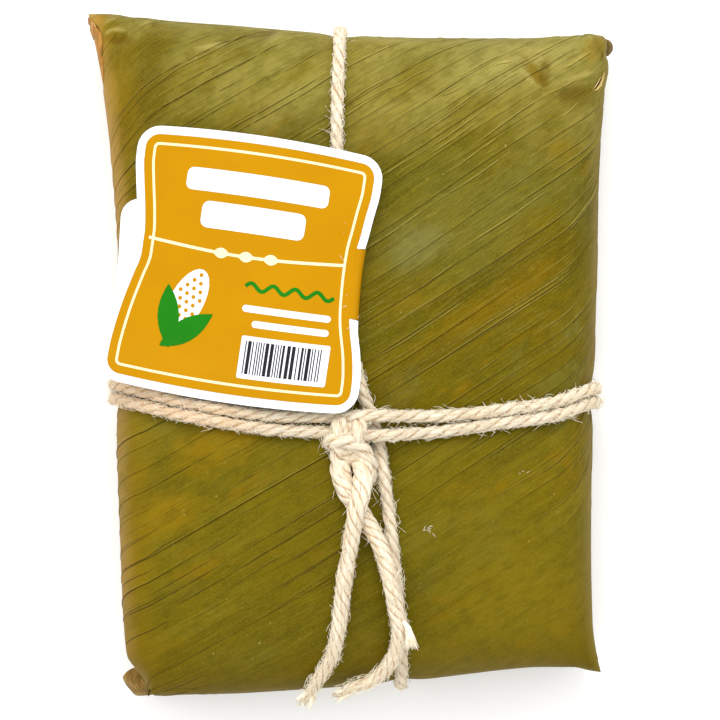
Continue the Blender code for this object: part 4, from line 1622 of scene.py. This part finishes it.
def vein_line_effect():
    """Fine lines along the veins at uneven distances: the painted shadow beside each one and the
    painted highlight on its lip.
    """
    group, enter, leave = effect("fine_vein_lines", {"Veins": "Vector", "Spacing": "Float",
                                                     "Start": "Float"},
                                 {"Dark": "Float", "Bright": "Float"})
    along, across, _ = axes_of(group, enter["Veins"])
    bend = stretched_noise(group, enter["Veins"], (2.4, 1.8, 1), 2, 0.5, (3, 1, 0))
    run = maths(group, "DIVIDE", times(group, across, 100.0), enter["Spacing"])
    run = maths(group, "ADD", run, scaled(group, bend, 1.1, enter["Start"]))
    cell = add(group, "ShaderNodeTexVoronoi", voronoi_dimensions="1D", Scale=1.0)
    group.links.new(run, cell.inputs["W"])
    aside = maths(group, "SUBTRACT", run, cell.outputs["W"])
    spot = group.nodes.new("ShaderNodeCombineXYZ")
    group.links.new(times(group, along, 3.2), spot.inputs[0])
    group.links.new(times(group, cell.outputs["W"], 3.7), spot.inputs[1])
    weight = ramp(group, stretched_noise(group, spot.outputs[0], (1, 1, 1), 1, 0.5), 0.46, 0.64)
    broken = stretched_noise(group, enter["Veins"], (34, 60, 1), 2, 0.6, (8, 3, 0))
    weight = times(group, weight, ramp(group, broken, 0.25, 0.55))
    for label, shift, wide, narrow in (("Dark", 0.035, 0.095, 0.03),
                                       ("Bright", -0.055, 0.085, 0.02)):
        off = maths(group, "ABSOLUTE", maths(group, "ADD", aside, shift))
        group.links.new(times(group, ramp(group, off, wide, narrow), weight), leave[label])
    return group


class LeafFields:
    """What the leaf's patterns are drawn from: places, distances, tones and clouds."""

    def __init__(self, tree):
        def layer(name, socket):
            return add(tree, "ShaderNodeAttribute", attribute_name=name).outputs[socket]

        self.uv = add(tree, "ShaderNodeUVMap", uv_map="veins").outputs[0]
        self.where = tree.nodes.new("ShaderNodeTexCoord").outputs["Object"]
        self.x, self.y, self.z = axes_of(tree, self.where)
        self.gap, self.weight, self.lip = axes_of(tree, layer("pleat", "Vector"))
        self.above, self.below, self.left_edge = axes_of(tree, layer("tones", "Vector"))
        self.right_edge, self.fold = layer("right_edge", "Fac"), layer("fold", "Fac")
        self.near_half = ramp(tree, self.y, 0.005, -0.030)
        # Cloud for the painted reflection and for the ragged dried edges
        self.reflection_and_dry_cloud = stretched_noise(tree, self.uv, (3.4, 4.4, 1), 4, 0.66, (7, 5, 0))
        self.cloud = stretched_noise(tree, self.uv, (4.2, 8.0, 1), 4, 0.7, (2, 4, 0))


def leaf_ground(tree, at):
    """Olive ground, a tone for each strip between two pleats, grey patches of painted reflection,
    amber, and painted sheen on the far end.
    """
    broad = stretched_noise(tree, at.uv, (3.0, 4.5, 1), 4, 0.6)
    colour = mix(tree, ramp(tree, broad, 0.36, 0.64), linear(84, 76, 2), linear(99, 82, 0))
    side = ramp(tree, at.gap, -0.06, 0.06)
    tone = maths(tree, "ADD", times(tree, side, at.above),
                 times(tree, maths(tree, "SUBTRACT", 1.0, side), at.below))
    colour = tint(tree, colour, ramp(tree, tone, 0.15, 1.1), (120, 106, 26), 0.45)
    colour = tint(tree, colour, ramp(tree, tone, -0.15, -1.1), (64, 55, 0), 0.55)
    colour = tint(tree, colour, at.near_half, (122, 104, 10), 0.25)
    thin = scaled(tree, at.near_half, -0.7, 1.0)
    # Grey patches, fainter at the near end: painted reflection of the lights over the olive
    painted_reflection = times(tree, ramp(tree, at.reflection_and_dry_cloud, 0.50, 0.72), thin)
    colour = tint(tree, colour, painted_reflection, (106, 104, 48), 0.7)
    amber = stretched_noise(tree, at.uv, (4.0, 8.5, 1), 4, 0.66, (2, 9, 0))
    colour = tint(tree, colour, ramp(tree, amber, 0.54, 0.72), (128, 92, 0), 0.6)

    # Paler far end, less so on the left: painted sheen where the leaf turns up towards the far
    # light
    far = ramp(tree, scaled(tree, at.cloud, 0.02, at.y), 0.054, 0.080)
    far = times(tree, far, ramp(tree, at.cloud, 0.25, 0.62))
    far = times(tree, far, scaled(tree, ramp(tree, at.x, -0.055, -0.015), 0.45, 0.55))
    return tint(tree, colour, far, (148, 138, 70), 0.68)


def leaf_patches_and_painted_light(tree, at, colour):
    """Single patches, some of another colour and some of painted light, each at its own place on
    the leaf.
    """
    patch_group = soft_patch_effect()
    for x, y, along, across, turn, shade, most in PATCHES_AND_PAINTED_LIGHT:
        mask = apply_effect(tree, patch_group, Where=at.where, Centre=(x * MM, y * MM, 0.03),
                            Turn=(0.0, 0.0, math.radians(turn)), Cloud=at.cloud,
                            Reach=(along * MM, across * MM, 1.0))["Mask"]
        colour = tint(tree, colour, mask, shade, most)
    return colour


def leaf_texture(tree, at, colour):
    """Dapples, streaks, grain and specks, and the relief that goes with them."""
    dapple = stretched_noise(tree, at.uv, (20, 32, 1), 3, 0.66, (1, 3, 0))
    colour = tint(tree, colour, ramp(tree, dapple, 0.42, 0.68), (62, 56, 0), 0.34)
    streaks = stretched_noise(tree, at.uv, (6, 90, 1), 4, 0.66)
    colour = tint(tree, colour, ramp(tree, streaks, 0.50, 0.70), (119, 106, 20), 0.42)
    fine = stretched_noise(tree, at.uv, (13, 210, 1), 3, 0.7, (4, 6, 0))
    thin = scaled(tree, at.near_half, -0.5, 1.0)
    for low, high, shade in ((0.50, 0.70, (62, 52, 0)), (0.46, 0.28, (150, 138, 58))):
        colour = tint(tree, colour, times(tree, ramp(tree, fine, low, high), thin), shade, 0.34)
    grain = stretched_noise(tree, at.uv, (130, 180, 1), 2, 0.7, (3, 1, 0))
    colour = tint(tree, colour, ramp(tree, grain, 0.42, 0.75), (128, 113, 26), 0.36)
    specks = stretched_noise(tree, at.uv, (75, 95, 1), 2, 0.5, (5, 2, 0))
    colour = tint(tree, colour, ramp(tree, specks, 0.73, 0.78), (196, 180, 110), 0.5)
    height = maths(tree, "ADD", times(tree, streaks, 0.5), times(tree, grain, 0.3))
    return colour, dapple, maths(tree, "ADD", height, times(tree, dapple, 0.6))


def leaf_edges(tree, at, colour):
    """Amber and dried tan along both sides, browner end walls, painted highlight on the ridges and
    painted shade in the hollows.
    """
    edge = scaled(tree, at.cloud, -3.0, at.left_edge)
    amber = times(tree, ramp(tree, edge, 11.0, 0.5), ramp(tree, at.cloud, 0.2, 0.6))
    colour = tint(tree, colour, amber, (136, 104, 0), 0.55)
    wall = times(tree, ramp(tree, at.z, 0.036, 0.022), ramp(tree, at.y, 0.06, -0.01))
    colour = tint(tree, colour, wall, (94, 74, 0), 0.6)
    dry = scaled(tree, ramp(tree, at.y, 0.0, 0.05), 0.4, 0.5)
    dry = times(tree, dry, scaled(tree, ramp(tree, at.y, -0.086, -0.070), 0.7, 0.3))
    dry = times(tree, dry, ramp(tree, at.reflection_and_dry_cloud, 0.30, 0.52))
    dry = times(tree, ramp(tree, edge, 3.4, -1.6), dry)
    colour = tint(tree, colour, dry, (166, 128, 58), 0.95)
    edge = scaled(tree, at.cloud, -1.6, at.right_edge)
    colour = tint(tree, colour, ramp(tree, edge, 2.2, -0.4), (118, 98, 20), 0.6)
    # Painted highlight on the soft ridges and painted shade in their hollows, from each point's
    # rise
    colour = tint(tree, colour, ramp(tree, at.fold, 0.10, 0.55), (186, 168, 98), 0.45)
    return tint(tree, colour, ramp(tree, at.fold, -0.10, -0.60), (86, 62, 0), 0.55)


def leaf_lines(tree, at, colour, height):
    """Fine vein lines and the pleats' lips, with painted shadow beside them and painted highlight
    on them, all fainter at the near end.
    """
    beside = times(tree, ramp(tree, at.x, -0.010, 0.015), ramp(tree, at.y, -0.028, -0.050))
    under = times(tree, ramp(tree, at.x, -0.045, -0.025), ramp(tree, at.y, -0.058, -0.072))
    calm = scaled(tree, maths(tree, "MAXIMUM", beside, under), -0.8, 1.0)
    # Painted highlights on the lips, stronger towards the far right where they face the lights
    lit = scaled(tree, ramp(tree, at.y, -0.030, 0.025), 0.7, 0.3)
    lit = times(tree, lit, scaled(tree, ramp(tree, at.x, -0.035, 0.005), 0.7, 0.3))
    lines = vein_line_effect()
    # Each set of lines: a painted shadow line and a painted highlight on its lip
    for spacing, start, most in ((3.1, 4.0, 0.95), (1.7, 31.0, 0.45)):
        marks = apply_effect(tree, lines, Veins=at.uv, Spacing=spacing, Start=start)
        dark = times(tree, marks["Dark"], calm)
        bright = times(tree, times(tree, marks["Bright"], calm), lit)
        colour = tint(tree, colour, dark, (50, 38, 0), 0.75 * most)
        colour = tint(tree, colour, bright, (178, 163, 80), 0.55 * most)
        step = times(tree, maths(tree, "SUBTRACT", bright, dark), 0.7 * most)
        height = maths(tree, "ADD", height, step)

    # Painted shadow beside each pleat's lip, then painted highlight on the lips' crests
    dark = maths(tree, "ABSOLUTE", maths(tree, "ADD", at.gap, 0.14))
    dark = times(tree, times(tree, ramp(tree, dark, 0.30, 0.10), at.weight), calm)
    dark = maths(tree, "MAXIMUM", dark, times(tree, at.lip, -1.3))
    colour = tint(tree, colour, dark, (44, 32, 0), 0.85)
    lit = scaled(tree, ramp(tree, at.x, -0.025, 0.015), 0.27, 0.18)
    lit = times(tree, ramp(tree, at.lip, 0.3, 1.0), lit)
    return tint(tree, colour, lit, (176, 158, 76)), height


def leaf_finish():
    """Cooked banana leaf: olive with amber and brown patches, grey patches of painted reflection,
    painted sheen on the far end and fine lines along its veins.
    """
    look, tree, shader = node_tree("cooked_leaf")
    at = LeafFields(tree)
    colour = leaf_patches_and_painted_light(tree, at, leaf_ground(tree, at))
    colour, dapple, height = leaf_texture(tree, at, colour)
    colour = leaf_edges(tree, at, colour)
    colour, height = leaf_lines(tree, at, colour, height)
    tree.links.new(colour, shader.inputs["Base Color"])
    steep = scaled(tree, ramp(tree, at.z, 0.037, 0.025), 0.22, 0.38)
    tree.links.new(scaled(tree, dapple, 0.22, steep), shader.inputs["Roughness"])
    sets(shader, Specular_IOR_Level=0.2, Specular_Tint=(1.0, 0.93, 0.25, 1.0))
    bump_from(tree, shader, height, 0.65, 0.00025)
    return look


def dry_effect():
    """Fibres and clouding of dried leaf."""
    group, enter, leave = effect("dried_fibres", {"Where": "Vector", "Colour": "Color",
                                                  "Deeper": "Color"},
                                 {"Colour": "Color", "Height": "Float"})
    streaks = stretched_noise(group, enter["Where"], (900, 260, 500), 3, 0.6)
    cloud = stretched_noise(group, enter["Where"], (160, 160, 160), 2, 0.5, (3, 1, 2))
    shade = mix(group, ramp(group, streaks, 0.35, 0.65), enter["Colour"], enter["Deeper"])
    clouded = times(group, ramp(group, cloud, 0.4, 0.7), 0.4)
    shade = mix(group, clouded, shade, enter["Deeper"])
    group.links.new(shade, leave["Colour"])
    group.links.new(streaks, leave["Height"])
    return group


def dry_finish(name, fibres, colour, deeper, rough):
    """Dried edge of the leaf, tan to brown, with fibres along it."""
    look, tree, shader = node_tree(name)
    where = tree.nodes.new("ShaderNodeTexCoord").outputs["Object"]
    out = apply_effect(tree, fibres, Where=where, Colour=colour, Deeper=deeper)
    tree.links.new(out["Colour"], shader.inputs["Base Color"])
    sets(shader, Roughness=rough, Specular_IOR_Level=0.15)
    bump_from(tree, shader, out["Height"], 0.5, 0.0002)
    return look


def bast_effect():
    """Fine bast fibres: light and tan ones side by side, stretched along the yarn."""
    group, enter, leave = effect("bast_fibres", {"Around": "Vector", "Light": "Color",
                                                 "Tan": "Color", "Brown": "Color",
                                                 "White": "Color"},
                                 {"Colour": "Color", "Height": "Float"})
    fibres = stretched_noise(group, enter["Around"], (3.0, 3.0, 1.3), 4, 0.72)
    threads = stretched_noise(group, enter["Around"], (6.5, 6.5, 2.2), 3, 0.68, (2, 3, 1))
    colour = enter["Light"]
    for source, low, high, most, shade in ((fibres, 0.50, 0.66, 0.7, "Tan"),
                                           (threads, 0.55, 0.68, 0.6, "Brown"),
                                           (threads, 0.46, 0.34, 0.8, "White")):
        share = times(group, ramp(group, source, low, high), most)
        colour = mix(group, share, colour, enter[shade])
    group.links.new(colour, leave["Colour"])
    height = maths(group, "ADD", fibres, times(group, threads, 0.7))
    group.links.new(height, leave["Height"])
    return group


def twine_finish(fibres):
    """Natural bast twine: cream fibres, with painted tan shade in the grooves between the yarns."""
    look, tree, shader = node_tree("natural_twine")
    uv = add(tree, "ShaderNodeUVMap", uv_map="twine").outputs[0]
    where = tree.nodes.new("ShaderNodeTexCoord").outputs["Object"]
    turn, run, _ = axes_of(tree, uv)
    x = axes_of(tree, where)[0]
    angle = times(tree, turn, math.tau)
    around = tree.nodes.new("ShaderNodeCombineXYZ")
    tree.links.new(maths(tree, "COSINE", angle), around.inputs[0])
    tree.links.new(maths(tree, "SINE", angle), around.inputs[1])
    tree.links.new(run, around.inputs[2])
    out = apply_effect(tree, fibres, Around=around.outputs[0], Light=linear(246, 233, 206),
                       Tan=linear(216, 184, 134), Brown=linear(170, 128, 80),
                       White=linear(255, 252, 240))
    blotch = stretched_noise(tree, around.outputs[0], (0.7, 0.7, 1.1), 2, 0.5, (4, 2, 1))
    groove = add(tree, "ShaderNodeAttribute", attribute_name="groove").outputs["Fac"]
    colour = tint(tree, out["Colour"], ramp(tree, blotch, 0.45, 0.72), (224, 194, 148), 0.45)
    broken = stretched_noise(tree, around.outputs[0], (1.6, 1.6, 2.6), 2, 0.5, (1, 5, 2))
    # Painted shade in the grooves between the yarns, broken up along them
    groove = times(tree, ramp(tree, groove, 0.58, 1.0), ramp(tree, broken, 0.30, 0.60))
    colour = tint(tree, colour, groove, (184, 136, 82), 0.8)
    # Warmer and darker towards the left: painted shade where the tag hangs over the strands
    colour = tint(tree, colour, ramp(tree, x, -0.006, -0.056), (222, 166, 104), 0.45)
    tree.links.new(colour, shader.inputs["Base Color"])
    sets(shader, Roughness=0.85, Specular_IOR_Level=0.2, Sheen_Weight=0.15)
    bump_from(tree, shader, out["Height"], 1.0, 0.0005)
    return look


def fibre_finish(fibres):
    """Loose fibres and cut ends of the twine."""
    look, tree, shader = node_tree("loose_fibre")
    where = tree.nodes.new("ShaderNodeTexCoord").outputs["Object"]
    closer = add(tree, "ShaderNodeMapping", Scale=(160, 160, 160))
    tree.links.new(where, closer.inputs["Vector"])
    out = apply_effect(tree, fibres, Around=closer.outputs[0], Light=linear(252, 243, 220),
                       Tan=linear(240, 222, 186), Brown=linear(214, 184, 138),
                       White=linear(255, 252, 240))
    tree.links.new(out["Colour"], shader.inputs["Base Color"])
    sets(shader, Roughness=0.8, Specular_IOR_Level=0.2)
    bump_from(tree, shader, out["Height"], 0.4, 0.0002)
    return look


def paper_effect():
    """Faint tooth and clouding of card."""
    group, enter, leave = effect("paper_tooth", {"Where": "Vector", "Colour": "Color",
                                                 "Deeper": "Color", "Rough": "Float"},
                                 {"Colour": "Color", "Roughness": "Float", "Height": "Float"})
    tooth = stretched_noise(group, enter["Where"], (2600, 2600, 2600), 2)
    cloud = stretched_noise(group, enter["Where"], (60, 60, 60), 2)
    shade = mix(group, ramp(group, cloud, 0.3, 0.7), enter["Colour"], enter["Deeper"])
    group.links.new(shade, leave["Colour"])
    group.links.new(scaled(group, tooth, 0.15, enter["Rough"]), leave["Roughness"])
    group.links.new(tooth, leave["Height"])
    return group


def paper_finish(name, tooth, colour, deeper, rough, gleam):
    """Printed or bare card."""
    look, tree, shader = node_tree(name)
    where = tree.nodes.new("ShaderNodeTexCoord").outputs["Object"]
    out = apply_effect(tree, tooth, Where=where, Colour=colour, Deeper=deeper, Rough=rough)
    tree.links.new(out["Colour"], shader.inputs["Base Color"])
    tree.links.new(out["Roughness"], shader.inputs["Roughness"])
    sets(shader, Specular_IOR_Level=0.2, Specular_Tint=gleam)
    bump_from(tree, shader, out["Height"], 0.15, 0.00005)
    return look


# Studio

def studio():
    """Camera straight above, white floor, even white background and four soft lights."""
    scene = bpy.context.scene
    camera_data = bpy.data.cameras.new("camera")
    camera_data.lens = 577
    camera_data.sensor_width = 36
    camera_data.clip_end = 20
    camera = new_object("camera", camera_data)
    camera.location = (2.08 * MM, -2.08 * MM, 3.0 + SEAM_HEIGHT * MM)
    scene.camera = camera

    bpy.ops.object.select_all(action="DESELECT")
    bpy.ops.mesh.primitive_plane_add(size=6.0, location=(0, 0, 0))
    floor = bpy.context.active_object
    floor.name = "floor"
    look, _, shader = node_tree("studio_floor")
    sets(shader, Base_Color=(0.93, 0.93, 0.93, 1), Roughness=0.9, Emission_Color=(1, 1, 1, 1),
         Emission_Strength=0.2)
    floor.data.materials.append(look)

    world = bpy.data.worlds.new("studio")
    world.use_nodes = True
    sets(world.node_tree.nodes["Background"], Color=(1, 1, 1, 1), Strength=0.82)
    scene.world = world
    for name, place, size, power in (("far_light", (0.0, 0.70, 0.80), 0.7, 7.5),
                                     ("left_light", (-0.8, 0.1, 0.8), 0.6, 2.5),
                                     ("right_light", (0.8, 0.1, 0.8), 0.6, 1.2),
                                     ("near_light", (0.0, -0.8, 0.9), 0.9, 1.5)):
        lamp = bpy.data.lights.new(name, "AREA")
        lamp.size = size
        lamp.energy = power
        holder = new_object(name, lamp)
        holder.location = place
        holder.rotation_euler = (-Vector(place)).to_track_quat("-Z", "Y").to_euler()
    scene.view_settings.view_transform = "Standard"


# Knot

def build_knot(lower, left, right):
    """Two turns over the lower strand that run on into the tails, a band and a tuck."""
    def over(x):
        return min((c for c, _, _ in lower if c.z > 30), key=lambda c: abs(c.x - x))

    def course(strand, steps):
        """Stops of a turn from their x and their steps along y and z from the strand."""
        return [(x, strand.y + dy, strand.z + dz) for x, dy, dz in steps]

    def root(tail, dx, dy, dz):
        return [(tail[0].x + dx, tail[0].y + dy, tail[0].z + dz)]

    first, second = over(-3.2), over(1.6)
    turn_left = course(first, [(-2.6, 2.7, -2.0), (-3.1, 2.3, 1.2), (-3.5, 0.2, 3.0),
                               (-3.7, -2.2, 2.2), (-2.8, -4.4, 1.6), (-0.8, -5.8, 1.6)])
    turn_left += root(left, -1.0, 1.1, 0.6) + root(left, 0.3, -2.2, 0.0)
    turn_right = course(second, [(2.4, 2.5, -2.2), (2.0, 2.3, 0.6), (1.5, 0.3, 2.7),
                                 (0.8, -2.1, 1.2), (-0.8, -3.6, -0.6), (-3.2, -4.9, -1.2)])
    turn_right += root(right, -0.9, 1.4, 0.1) + root(right, -0.2, -2.0, 0.0)
    band = course(first, [(-5.4, -3.6, -1.6), (-5.8, -2.6, 0.6), (-4.6, -2.2, 3.2),
                          (-2.2, -2.1, 4.5), (0.4, -2.7, 4.4), (2.6, -4.2, 3.2),
                          (4.1, -6.6, 1.8), (4.7, -9.2, 0.2), (4.6, -12.0, -0.8),
                          (3.6, -14.6, -1.4)])
    tuck = course(first, [(-1.2, 1.2, -0.6), (-0.9, 0.4, 1.8), (-0.8, -1.4, 2.4),
                          (-0.6, -3.4, 1.4)])
    swell = [(0, 1.0), (0.3, 1.08), (0.8, 1.16), (1, 1.2)]
    even = [(0, 0.8), (0.15, 1.05), (0.7, 1.05), (0.9, 0.85), (1, 0.6)]
    parts, lines = [], []
    for name, points, seed, girth in (("turn_left", turn_left, 21, swell),
                                      ("turn_right", turn_right, 22, swell),
                                      ("band", band, 23, even), ("tuck", tuck, 24, swell)):
        line = framed(spline(points, 0.5))
        parts.append(rope(name, line, *KNOT_TWINE, 3, False, seed, girth))
        lines.append((line, 1.9))
    return join("knot_turns", *parts), lines


def build_tag(white, orange, cream, green, dark):
    """The card and its print: frame, bars, beads on a line, a corn cob and a striped code."""
    card, folds = build_card()
    finish_piece(card, white, "card", "tag")
    print_sheet("print_field", [field_outline(2.1)], orange, 0.09)
    low, high = FRONT_HINGE
    rows = [lerp(low, high, k / 9) for k in range(10)]
    flap = []
    for a, b in zip(rows, rows[1:]):
        flap.append([(front_limits(a, 2.12)[1], a), (front_limits(a, 1.95)[1], a),
                     (front_limits(b, 1.95)[1], b), (front_limits(b, 2.12)[1], b)])
    print_sheet("print_hinge", flap, orange, 0.09)
    print_round_fold(folds, orange)
    swag = [(-25.5 + 51 * k / 30, 4.6 - 1.6 * math.sin(math.pi * k / 30)) for k in range(31)]
    print_sheet("print_frame", frame_band(4.2, 4.85), cream, 0.12)
    print_sheet("print_line", ribbon(swag, 0.75), cream, 0.135)
    beads = [lens(x, y, 4.2, 2.6, 90) for x, y in ((-6.5, 3.15), (0, 3.0), (6.5, 3.15))]
    print_sheet("print_beads", beads, cream, 0.15)
    bars = [bar(0.5, 20.6, 37, 5.6, 0, 1.6), bar(0.5, 12.2, 27, 6.6, 0, 1.8),
            bar(12.5, -9.4, 23, 1.7), bar(14.0, -13.0, 20, 1.7)]
    bars += [lens(-13.5, -10.0, 18, 8.6, -22, False), bar(13.5, -21.3, 23, 10.5, 0, 0.5)]
    print_sheet("print_white", bars, white, 0.12)
    wave = [(1.0 + 23 * k / 48, -4.0 + 0.9 * math.sin(k * 0.525)) for k in range(49)]
    leaves = [lens(-17.6, -14.2, 16, 5.6, 8), lens(-12.6, -17.0, 16, 5.6, -52)]
    print_sheet("print_wave", ribbon(wave, 1.0), green, 0.12)
    print_sheet("print_husk_left", leaves[:1], green, 0.18)
    print_sheet("print_husk_right", leaves[1:], green, 0.20)
    kernels = []
    for row in range(-4, 5):
        for column in range(-2, 3):
            x, y = (column + 0.5 * (row % 2)) * 1.9, row * 1.9
            if (x / 3.6) ** 2 + (y / 8.2) ** 2 < 0.9:
                kernels.append(placed(bar(x, y, 1.05, 1.05), -13.5, -10.0, -22))
    print_sheet("print_kernels", kernels, orange, 0.15)
    pick = random.Random(8)
    stripes, x = [], 3.2
    while x < 23.4:
        width = pick.choice((0.3, 0.3, 0.6, 0.9))
        stripes.append([(x, -25.4), (x + width, -25.4), (x + width, -17.2), (x, -17.2)])
        x += width + pick.choice((0.3, 0.35, 0.6))
    print_sheet("print_stripes", stripes, dark, 0.15)


def build_twine(cad_box, twine, fibre, tight, tails, knot_lines):
    """Tight strands, tails with frayed ends, a loose tuft and the fuzz of fibres on all of them."""
    low, high = cad_box
    box = ([v / MM for v in low], [v / MM for v in high])
    for name, node, line, seed in tight:
        piece = rope(name, line, *STRAND_TWINE, 3, True, seed)
        finish_piece(piece, twine, "twine", node)
    girth = [(0, 1.26), (0.12, 1.28), (0.24, 1.06), (0.6, 0.98), (0.8, 0.84), (0.92, 0.76),
             (0.97, 0.5), (1, 0.22)]
    for name, node, line, aims, seed in tails:
        piece = rope(name, line, *TAIL_TWINE, 5, False, seed, girth)
        finish_piece(piece, twine, "twine", node)
        finish_piece(frayed("frayed_" + node, line[:-8], 1.5, aims, 4.6, seed, box), fibre, "twine")
    loose = [Vector(p) for p in ((13.3, -69.4, 42.2), (14.5, -71.2, 42.5), (15.1, -73.4, 42.1),
                                 (15.5, -75.4, 41.5))]
    threads = [(loose, [0.5, 0.9, 0.8, 0.3])]
    for k in range(16):
        aside = Vector((0.11 * (k - 8), -0.05 * (k % 5), 0.1 * (k % 3)))
        path = [p + aside * (0.4 + 0.45 * n) for n, p in enumerate(loose)]
        tip = path[-1] + Vector((0.1 + 0.5 * aside.x, -0.9 - 0.2 * (k % 3), -0.2))
        threads.append(([*path, tip], [0.12, 0.12, 0.12, 0.10, 0.05]))
    finish_piece(tubes("loose_tuft", threads, 6), fibre, "twine")
    lines = [(line, TWINE_RADIUS) for _, _, line, _ in tight]
    finish_piece(fuzz("strand_fuzz", lines, 11, box), fibre, "twine")
    lines = [(row[2], 1.95) for row in tails] + knot_lines
    finish_piece(fuzz("tail_fuzz", lines, 12, box), fibre, "twine")


def main():
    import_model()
    cad_box = [list(corner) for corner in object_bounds()]
    studio()
    skin = coarse_skin()
    long_line = strand_line(skin, LONG_TOP, LONG_BASE, LONG_LIFT, True, True)
    cross_line = strand_line(skin, CROSS_TOP, CROSS_BASE, CROSS_LIFT, False, False)
    side = max(cross_line, key=lambda stop: stop[0].z)[2].y
    sign = 1 if side > 0 else -1
    upper_line = shifted(cross_line, 0.5 * sign)
    lower_line = shifted(cross_line, -0.5 * sign)
    top_part = sorted([c for c, _, _ in long_line if c.z > SEAM_HEIGHT], key=lambda c: c.y)
    over = TAIL_RADIUS + TWINE_RADIUS + GAP
    right = lay(TAIL_RIGHT, TAIL_RIGHT_END, skin, [(top_part, over)])
    left = lay(TAIL_LEFT, TAIL_LEFT_END, skin, [(top_part, over), (right, 2 * TAIL_RADIUS + GAP)])

    bast, dried, tooth = bast_effect(), dry_effect(), paper_effect()
    leaf, twine, fibre = leaf_finish(), twine_finish(bast), fibre_finish(bast)
    wrap = build_leaf([long_line, upper_line, lower_line])
    finish_piece(wrap, leaf, "leaf", "leaf_parcel")
    tree = BVHTree.FromPolygons([v.co / MM for v in wrap.data.vertices],
                                [tuple(f.vertices) for f in wrap.data.polygons])
    build_flaps(tree, leaf)
    stray_fibres(tree, fibre)
    dry = [dry_finish(name, dried, linear(*colour), linear(*deeper), rough)
           for name, colour, deeper, rough in (
               ("dry_leaf", (184, 130, 58), (146, 100, 34), 0.6),
               ("brown_fold", (124, 98, 18), (84, 64, 2), 0.55),
               ("tan_fold", (150, 116, 48), (116, 88, 22), 0.55),
               ("pale_edge", (212, 188, 124), (184, 156, 88), 0.6),
               # Painted shadow for the slits at the corners
               ("painted_shadow_in_slits", (38, 24, 4), (52, 34, 8), 0.7))]
    build_corners(tree, *dry)
    knot, knot_lines = build_knot(lower_line, left, right)
    finish_piece(knot, twine, "twine", "knot")
    build_twine(cad_box, twine, fibre,
                [("strand_lengthwise", "twine_lengthwise", long_line, 1),
                 ("strand_cross_upper", "twine_cross_upper", upper_line, 2),
                 ("strand_cross_lower", "twine_cross_lower", lower_line, 3)],
                [("tail_end_left", "tail_left", framed(spline([tuple(p) for p in left], 0.6)),
                  ((-0.9, 0.3, 0.75), (0.1, 0.0, 0.95), (0.8, 0.5, 0.8)), 4),
                 ("tail_end_right", "tail_right", framed(spline([tuple(p) for p in right], 0.6)),
                  ((-0.7, 0.3, 0.9), (0.5, 0.2, 0.75)), 5)], knot_lines)
    warm, plain = (1.0, 0.85, 0.3, 1.0), (1.0, 1.0, 1.0, 1.0)
    papers = [paper_finish(name, tooth, linear(*colour), linear(*deeper), rough, gleam)
              for name, colour, deeper, rough, gleam in (
                  ("white_card", (246, 248, 252), (238, 241, 247), 0.4, plain),
                  ("orange_print", (190, 133, 0), (185, 129, 0), 0.35, warm),
                  ("cream_print", (250, 238, 190), (248, 233, 182), 0.35, warm),
                  ("green_print", (10, 122, 18), (12, 112, 16), 0.35, warm),
                  ("dark_print", (24, 22, 26), (30, 28, 30), 0.35, plain))]
    build_tag(*papers)


main()
